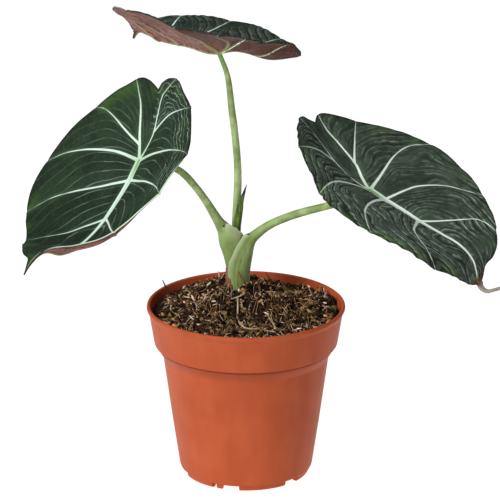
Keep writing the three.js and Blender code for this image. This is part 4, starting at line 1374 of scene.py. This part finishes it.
# The last glaze is a painted highlight, a pale line along the margin of the younger blades.
top_colour = velvet.glazed(
    velvet.mix(on_vein, pleated, mint),
    (edge.step(1.3, 0.3) * 0.7, srgb(24, 28, 18)),
    (dry.step(0.0, 0.45) * 0.85, srgb(92, 78, 40)),
    (dry.step(0.55, 0.9), srgb(150, 142, 132)),
    (edge.step(0.8, 0.45) * velvet.value("margin_highlight"), srgb(196, 216, 192)),
)
velvet.feed(base_color=top_colour, roughness=0.66 - 0.14 * on_vein + 0.08 * mottle)
small_relief = 0.25 * nap + 0.5 * mottle - 0.5 * lines * line_strength
velvet.bump(small_relief + 0.4 * wrinkle_highlights * ripple * age + 0.9 * on_vein, 0.16, 0.7)
print("nodes of the velvet:", len(velvet.tree.nodes))

# %% [markdown]
# Below, the same leaf is dull red, streaked lighter and darker along the pleats, with a painted highlight on
# each crest, and with raised ribs in a dusty green. The ribs are greenest where they meet the stalk. Under
# the low left blade and under the back lobes of the top one a painted shade darkens the red and the ribs, and
# a number that each blade keeps says where.

# %% Under face
under = Finish("leaf_under", specular_ior_level=0.25)
patch = under.noise(13, detail=3)
mottle = under.noise(1.6, detail=4)
streak = under.noise(2.4, detail=5, roughness=0.7)
faint = under.noise(7, detail=2).step(0.35, 0.65)
gap, edge, under_shade = (under.value(name) for name in ("vein_gap", "edge_gap", "under_shade"))
lines, _, crest_highlights, _, _ = pleats_of(under, 0.2)
# Painted highlight on the crests of the pleats, and painted shade under the low blade and the back lobes.
red = under.glazed(
    under.mix(patch.step(0.35, 0.65), srgb(150, 90, 76), srgb(112, 64, 56)),
    (lines * (0.4 + 0.45 * faint), srgb(48, 24, 22)),
    (crest_highlights * faint * 0.55, srgb(182, 116, 92)),
    (streak.step(0.52, 0.66) * 0.65, srgb(192, 134, 104)),
    (streak.step(0.50, 0.38) * 0.6, srgb(78, 36, 34)),
    (under_shade * 0.75, srgb(64, 28, 20)),
)
# The ribs below get the same painted shade.
rib_green = under.glazed(
    under.mix(mottle, srgb(150, 150, 100), srgb(178, 176, 132)),
    (under.value("from_node").step(30.0, 4.0) * 0.7, srgb(140, 166, 84)),
    (under_shade * 0.45, srgb(104, 110, 62)),
)
on_rib = gap.step(0.45, -0.1) * (1.0 - 0.45 * under.value("vein_share"))
below = under.glazed(
    under.mix(on_rib, red, rib_green),
    (edge.step(1.3, 0.5) * 0.9, srgb(44, 30, 26)),
    (under.value("dry_tip").step(0.4, 0.8), srgb(150, 142, 132)),
)
under.feed(base_color=below, roughness=0.55 + 0.1 * mottle)
under.bump(0.4 * mottle + 0.4 * streak - 0.8 * lines, 0.3, 0.8)
print("nodes of the under face:", len(under.tree.nodes))

# %% Bend the three blades
for name in LEAVES:
    finish_piece(blade(name, velvet.material, under.material), [name])

# %% [markdown]
# ## Stalks with their sheaths
# The three stalks stand inside one another at the base. Their lines come from the frame's solids, and the
# last point of each is worked out from its blade, so that the stalk meets the midrib from below. The finish
# is a pale, slightly translucent green with fine streaks along it, duller low down and fresher where the
# top stalk meets its blade.

# %% Lines of the petioles
# Each row is (x, y, z, half width, half depth where it differs).
PETIOLES = {
    "petiole_top": ("leaf_top", 1.25, [
        (-5.4, 15, 96, 2.6), (-5.6, 16, 114.5, 2.7), (-5.4, 16, 136, 2.3), (-4.4, 16, 161.2, 2.1),
        (-4.7, 16, 172.6, 2), (-6.2, 15.6, 189.8, 1.95), (-7.6, 15, 201.3, 1.9), (-10, 13.6, 221.4, 1.5)]),
    "petiole_left": ("leaf_left", 1.8, [
        (-5.6, 12.5, 96, 4.6), (-5.8, 12.5, 103, 4.5, 4.7), (-6, 12.5, 109.6, 4.4, 4.8),
        (-7.8, 12.3, 120.1, 4.6, 5), (-9.3, 12, 127.2, 5.4, 5.0), (-10.9, 11.6, 132.8, 4.6, 4.4),
        (-14.9, 10, 139.7, 2.8), (-22.2, 7.5, 153, 2.1), (-27.1, 5, 160.8, 2), (-32.5, 1.5, 168.5, 2),
        (-36.9, -1.5, 173, 1.9), (-44, -6, 176.8, 1.8), (-51, -10, 178.6, 1.8)]),
    "petiole_right": ("leaf_right", 1.9, [
        (-3.8, 9.8, 96, 5.6), (-3.8, 9.4, 102, 6), (-3.8, 9, 110.8, 6.1, 6.2), (-1.1, 8.4, 121.4, 4.9, 5),
        (2.2, 7, 129.7, 3.4), (6.3, 5.2, 134.5, 2.7, 2.6), (13.1, 1.5, 140.7, 2.3), (21.2, -3, 146, 2.2),
        (29.4, -7, 150.3, 2.2), (43.5, -13, 156.2, 2), (55.8, -18, 161.2, 1.9)]),
}


def under_blade(name, radius, clearance=1.2):
    """The last section of a stalk, just under its blade's midrib."""
    leaf, zero = LEAVES[name], np.zeros(1)
    up = sheet_normal(leaf, zero, zero)[0]
    end = sheet(leaf, zero, zero)[0] + up * (bulge(leaf, zero, zero)[0] - clearance)
    return (*end, radius)


for name, (leaf_name, radius, _) in PETIOLES.items():
    print(name, "ends at", [round(float(number), 1) for number in under_blade(leaf_name, radius)])

# %% Finish of the stalks
stalk = Finish("petiole", specular_ior_level=0.5, subsurface_weight=0.08)
stalk.shader.inputs["Subsurface Radius"].default_value = (0.004, 0.005, 0.002)
streaks = stalk.noise(1.3, stalk.stretched(1, 1, 0.12), detail=3)
patch = stalk.noise(9, detail=2)
fleck = stalk.noise(0.7, detail=3, roughness=0.7)
height = stalk.height()
dry, rim = stalk.value("dry"), stalk.value("rim")
pale = stalk.mix(height.step(0.118, 0.165), srgb(132, 156, 88), srgb(164, 190, 126))
brown = stalk.mix(fleck, srgb(60, 30, 18), srgb(172, 106, 62))
brown = stalk.mix(height.step(0.116, 0.126), brown, srgb(20, 11, 8))
green = stalk.glazed(
    stalk.mix(patch.step(0.35, 0.65), srgb(122, 142, 76), pale),
    (streaks.step(0.5, 0.75) * 0.45, srgb(100, 118, 56)),
    (fleck.step(0.62, 0.74) * 0.3, srgb(178, 190, 138)),
    (rim.step(0.35, 0.9) * 0.3 + rim.step(0.85, 1.0) * 0.2, srgb(190, 200, 168)),
    (height.step(0.220, 0.229) * 0.75, srgb(92, 142, 40)),
    (dry * (0.6 + 0.4 * streaks.step(0.3, 0.5)), brown),
)
stalk.feed(base_color=green, roughness=0.42 + 0.15 * fleck)
stalk.bump(streaks, 0.12, 0.6)
print("nodes of the stalks' finish:", len(stalk.tree.nodes))

# %% [markdown]
# The edges of a sheath are thin and papery. They stand a little off the stalk that they clasp, turn pale at
# the rim, and dry out brown at the tip and at the foot. Each is a narrow sheet between the line where it
# leaves the stalk and its free edge, bowed outwards and given a thickness.

# %% Papery edges of the sheaths
PAPER = 0.35  # thickness in millimetres
DRY_RIM = 0.72  # share of the way to the free edge from which a dry stretch is brown
FLAPS = {
    "petiole_left": [
        {"free": [(-11.7, 7.6, 139.6), (-9.2, 6.6, 139.2), (-6.2, 6.2, 137.6), (-3.0, 6.6, 134.9),
                  (-0.9, 8.0, 131.6)],
         "foot": [(-15.2, 8.6, 133), (-11.6, 6.9, 127), (-8.4, 6.7, 122), (-6.0, 7.0, 118), (-4.0, 8.2, 116)],
         "bow": 1.2, "dry": (0.0, 0.10)},
        {"free": [(-10.9, 8.5, 113.5), (-11.0, 7.5, 108), (-10.4, 6.5, 102)],
         "foot": [(-8.8, 5.5, 115.5), (-8.2, 4.0, 108), (-7.4, 3.2, 102)], "bow": 0.4, "dry": (0.0, 1.0)},
    ],
    "petiole_right": [
        {"free": [(-9.3, 5.6, 106), (-9.6, 5.2, 112), (-9.2, 4.9, 117.5), (-7.3, 4.6, 122),
                  (-4.3, 4.5, 128.6), (-1.0, 4.7, 133.4), (1.4, 5.2, 134.6)],
         "foot": [(-4.6, 2.9, 104), (-4.6, 2.8, 111), (-3.6, 3.1, 117), (-2.2, 3.4, 121.4), (0.9, 3.8, 127.6),
                  (3.6, 3.9, 131.4), (5.6, 3.8, 133.2)],
         "bow": 0.9, "dry": (0.90, 1.0)},
        {"free": [(-4.4, 2.5, 113), (-3.2, 2.3, 110.2), (-1.6, 2.3, 108)],
         "foot": [(-3.8, 2.7, 113.4), (-2.6, 2.5, 110.7), (-1.0, 2.5, 108.5)], "bow": 0.3, "dry": (0.0, 1.0)},
    ],
}


def flap(name, free, foot, bow, dry):
    """A papery edge from its foot on the stalk to its free line; dry is the stretch that has turned brown."""
    def shape(s, t):
        low, high = centred_line(foot, s), centred_line(free, s)
        bowed = -1.3 * bow * t * np.sin(math.pi * t) + 0.1 * np.sin(11 * s) * t
        frayed = 0.2 * np.sin(23 * s + 1) * t**4
        return (low + (high - low) * t[:, None] + np.c_[0 * s, bowed, frayed]) * MM

    piece = grid(name, 60, 12, shape)
    uv = np.zeros(2 * len(piece.data.loops), np.float32)
    piece.data.uv_layers[0].data.foreach_get("uv", uv)
    place = np.zeros((len(piece.data.vertices), 2))
    place[corner_points(piece)] = uv.reshape(-1, 2)
    along, out = place[:, 0], place[:, 1]
    inner = 0 if dry == (0.0, 1.0) else DRY_RIM
    keep_value(piece, "rim", out)
    keep_value(piece, "dry", (along >= dry[0]) & (along <= dry[1]) & (out >= inner))
    thickened(piece, PAPER, 0)
    edit(piece, lambda: bpy.ops.mesh.normals_make_consistent(inside=False))
    shade_smooth(piece, 60)
    return piece


# %% Wrap the stalks
for name, (leaf_name, radius, rows) in PETIOLES.items():
    parts = [tube(name, [*rows, under_blade(leaf_name, radius)], 32, 120)]
    parts += [flap("sheath_edge", **numbers) for numbers in FLAPS.get(name, [])]
    piece = join(parts, name)
    piece.data.materials.append(stalk.material)
    finish_piece(piece, [name])

# %% [markdown]
# ## The rolled new leaf
# A new blade comes up between the stalks rolled into a tight spike. It is a slim tube with a step in its
# radius that winds up it, which is the free edge of the roll. It is mid green with a dark, then dry, tip.

# %% Rolled new leaf
NEW_LEAF = [(-5, 10.4, 126, 1.5), (-4.6, 10.6, 137.3, 2.0), (-3.5, 11, 145.7, 1.9), (-2.3, 11.2, 151.4, 1.2),
            (-1, 11.5, 155.6, 0.7), (0.4, 12, 160, 0.25)]
WINDING = {"step": 0.16, "turns": 3}


def wound(angle, t, centre):
    """The free edge of the roll, a step that winds up the spike and dies out at the tip."""
    return WINDING["step"] * ((angle / (2 * math.pi) + WINDING["turns"] * t) % 1) * (1 - t)


rolled = Finish("rolled_leaf", specular_ior_level=0.45)
height = rolled.height()
streaks = rolled.noise(0.8, rolled.stretched(1, 1, 0.1), detail=3)
rolled_green = rolled.glazed(
    rolled.mix(streaks.step(0.4, 0.7), srgb(44, 62, 10), srgb(100, 130, 30)),
    (height.step(0.1525, 0.1555), srgb(20, 22, 14)),
    (height.step(0.1575, 0.1595), srgb(120, 118, 108)),
)
rolled.feed(base_color=rolled_green, roughness=0.5 + 0.1 * streaks)
rolled.bump(streaks, 0.12, 0.6)
spike = tube("new_leaf_spike", NEW_LEAF, 28, 60, swell=wound)
spike.data.materials.append(rolled.material)
finish_piece(spike, ["new_leaf_spike"])

# %% [markdown]
# ## Rhizome and roots
# A short upright stem carries the stalks, and a few roots run out of it over the soil before they dive in.
# Roots are never straight or even, so each one gets a slow wander and small swellings.

# %% Skin of the roots
skin = Finish("root_skin", roughness=0.8, specular_ior_level=0.25)
patch = skin.noise(4, detail=3)
fleck = skin.noise(0.6, detail=4, roughness=0.7)
tan = skin.mix(patch.step(0.35, 0.65), srgb(176, 142, 100), srgb(206, 182, 146))
skin.feed(base_color=skin.mix(fleck.step(0.5, 0.75) * 0.6, tan, srgb(104, 74, 46)))
skin.bump(fleck, 0.2, 0.7)
print("nodes of the roots' finish:", len(skin.tree.nodes))

# %% Rhizome and roots
RHIZOME = [(-4, 11, 62, 2.2), (-4, 11, 69, 5), (-4, 11, 81, 6.4), (-4, 11, 92, 6.8, 6.6),
           (-4, 11, 95.7, 6, 5.8)]
# Each root's row is (x, y, height over the soil, radius).
ROOTS = [
    [(-3, 6, -11, 1.1), (-1, 2, -5, 1.1), (-0.8, -2, -0.6, 0.95), (-3.6, -5, 0.4, 0.8), (-8.2, -7, 0.2, 0.5)],
    [(-5, 6, -12, 0.9), (-4.6, 1, -6, 0.9), (-4.4, -5, -0.6, 0.85), (-4.4, -14, 0.3, 0.8),
     (-4.2, -22, 0.3, 0.75), (0, -28, 0.2, 0.7), (7, -30.5, 0.2, 0.6), (16, -32, 0, 0.5)],
    [(1, 9, -11, 0.9), (5, 6.5, -5, 0.9), (7.4, 1.6, -0.2, 0.8), (8.6, -6, 0.2, 0.7), (12, -16, 0.1, 0.6),
     (16, -25, 0, 0.5)],
]
SLIMMER = 0.55
KNOBS = 0.16


def knobbly(angle, t, centre):
    """Small swellings of a root, from noise along it."""
    return np.array([KNOBS * noise.noise(Vector(c) * 0.9) for c in centre])


def over_soil(x, y, rise, radius):
    """A root's section, lifted onto the crumb and made slimmer than the solid."""
    return x, y, float(soil_height(x, y)) + max(0, crumb(x, y)) + rise + 0.5, SLIMMER * radius


parts = [tube("rhizome", RHIZOME, 24, 30)]
for root in ROOTS:
    parts.append(tube("root", [over_soil(*row) for row in root], 10, 60, wide_start=[0, 0, 1], swell=knobbly))
roots = join(parts, "rhizome_and_roots")
roots.data.materials.append(skin.material)
finish_piece(roots, ["rhizome_and_roots"])

# %% [markdown]
# ## Floor, light and camera
# The plant is shown as a nursery shows it: on white, in soft light from the front and a little to the left,
# with a long lens from slightly above. The floor is plain and pale, and isn't part of the object.

# %% Floor
bpy.ops.object.select_all(action="DESELECT")
bpy.ops.mesh.primitive_plane_add(size=12, location=(0, 0, 0))
floor = bpy.context.object
floor.name = "floor"
paper = Finish("pale_floor", roughness=0.9)
shade = paper.noise(900, detail=1)
paper.feed(base_color=paper.mix(shade * 0.3, srgb(252, 252, 252), srgb(248, 248, 249)))
floor.data.materials.append(paper.material)
print("floor:", tuple(round(size, 1) for size in floor.dimensions), "m")

# %% [markdown]
# A large soft key lights the front, a weak fill lifts the right side, and a third lamp lights the floor
# alone, so that it stays white without bleaching the pot. A studio's key is much larger than this one and
# reaches under the leaves, so here the blades are left out of what blocks the key, and the stalks and soil
# stay bright.

# %% Light
MIDDLE = (0, 0, 0.12)
LIGHTS = {
    "key": {"place": (-2.3, -2.6, 3.0), "target": MIDDLE, "size": 2.0, "power": 192},
    "fill": {"place": (2.4, -2.6, 1.2), "target": MIDDLE, "size": 2.0, "power": 1},
    "sweep": {"place": (0, 0.1, 4.0), "target": (0, 0.9, 0), "size": 3.0, "power": 176},
}
WORLD_STRENGTH = 0.18


def soft_light(name, place, target, size, power):
    """A round area lamp that looks at its target."""
    lamp = bpy.data.lights.new(name, "AREA")
    lamp.shape = "DISK"
    lamp.size = size
    lamp.energy = power
    light = bpy.data.objects.new(name, lamp)
    light.location = place
    light.rotation_euler = (Vector(target) - Vector(place)).to_track_quat("-Z", "Y").to_euler()
    bpy.context.collection.objects.link(light)
    return light


def group(name, members):
    collection = bpy.data.collections.new(name)
    for member in members:
        collection.objects.link(member)
    return collection


def blocks_key(piece):
    """Everything but the blades."""
    return not piece.name.startswith("leaf_")


key, fill, sweep = (soft_light(name, **numbers) for name, numbers in LIGHTS.items())
plant_pieces = [piece for piece in bpy.context.scene.objects if piece.type == "MESH" and piece is not floor]
plant_only, floor_only = group("plant", plant_pieces), group("sweep", [floor])
key.light_linking.receiver_collection = plant_only
key.light_linking.blocker_collection = group("shading", filter(blocks_key, plant_pieces))
fill.light_linking.receiver_collection = plant_only
sweep.light_linking.receiver_collection = floor_only
sweep.light_linking.blocker_collection = floor_only
world = bpy.data.worlds.new("studio")
bpy.context.scene.world = world
world.use_nodes = True
world.node_tree.nodes["Background"].inputs["Color"].default_value = (1, 1, 1, 1)
world.node_tree.nodes["Background"].inputs["Strength"].default_value = WORLD_STRENGTH
bpy.context.scene.view_settings.view_transform = "Standard"
print("lights:", ", ".join(LIGHTS))

# %% Camera
ELEVATION = 0.33763728
DISTANCE = 2.5
TARGET = Vector((0.002186, 0, 0.126621))
LENS_MM = 332.8
SENSOR_MM = 36
camera = bpy.data.objects.new("camera", bpy.data.cameras.new("camera"))
bpy.context.collection.objects.link(camera)
camera.data.lens = LENS_MM
camera.data.sensor_width = SENSOR_MM
camera.location = TARGET + DISTANCE * Vector((0, -math.cos(ELEVATION), math.sin(ELEVATION)))
camera.rotation_euler = (math.pi / 2 - ELEVATION, 0, 0)
bpy.context.scene.camera = camera
print("camera looks down at", round(math.degrees(ELEVATION), 1), "degrees")

# %% Update the scene
bpy.context.view_layer.update()
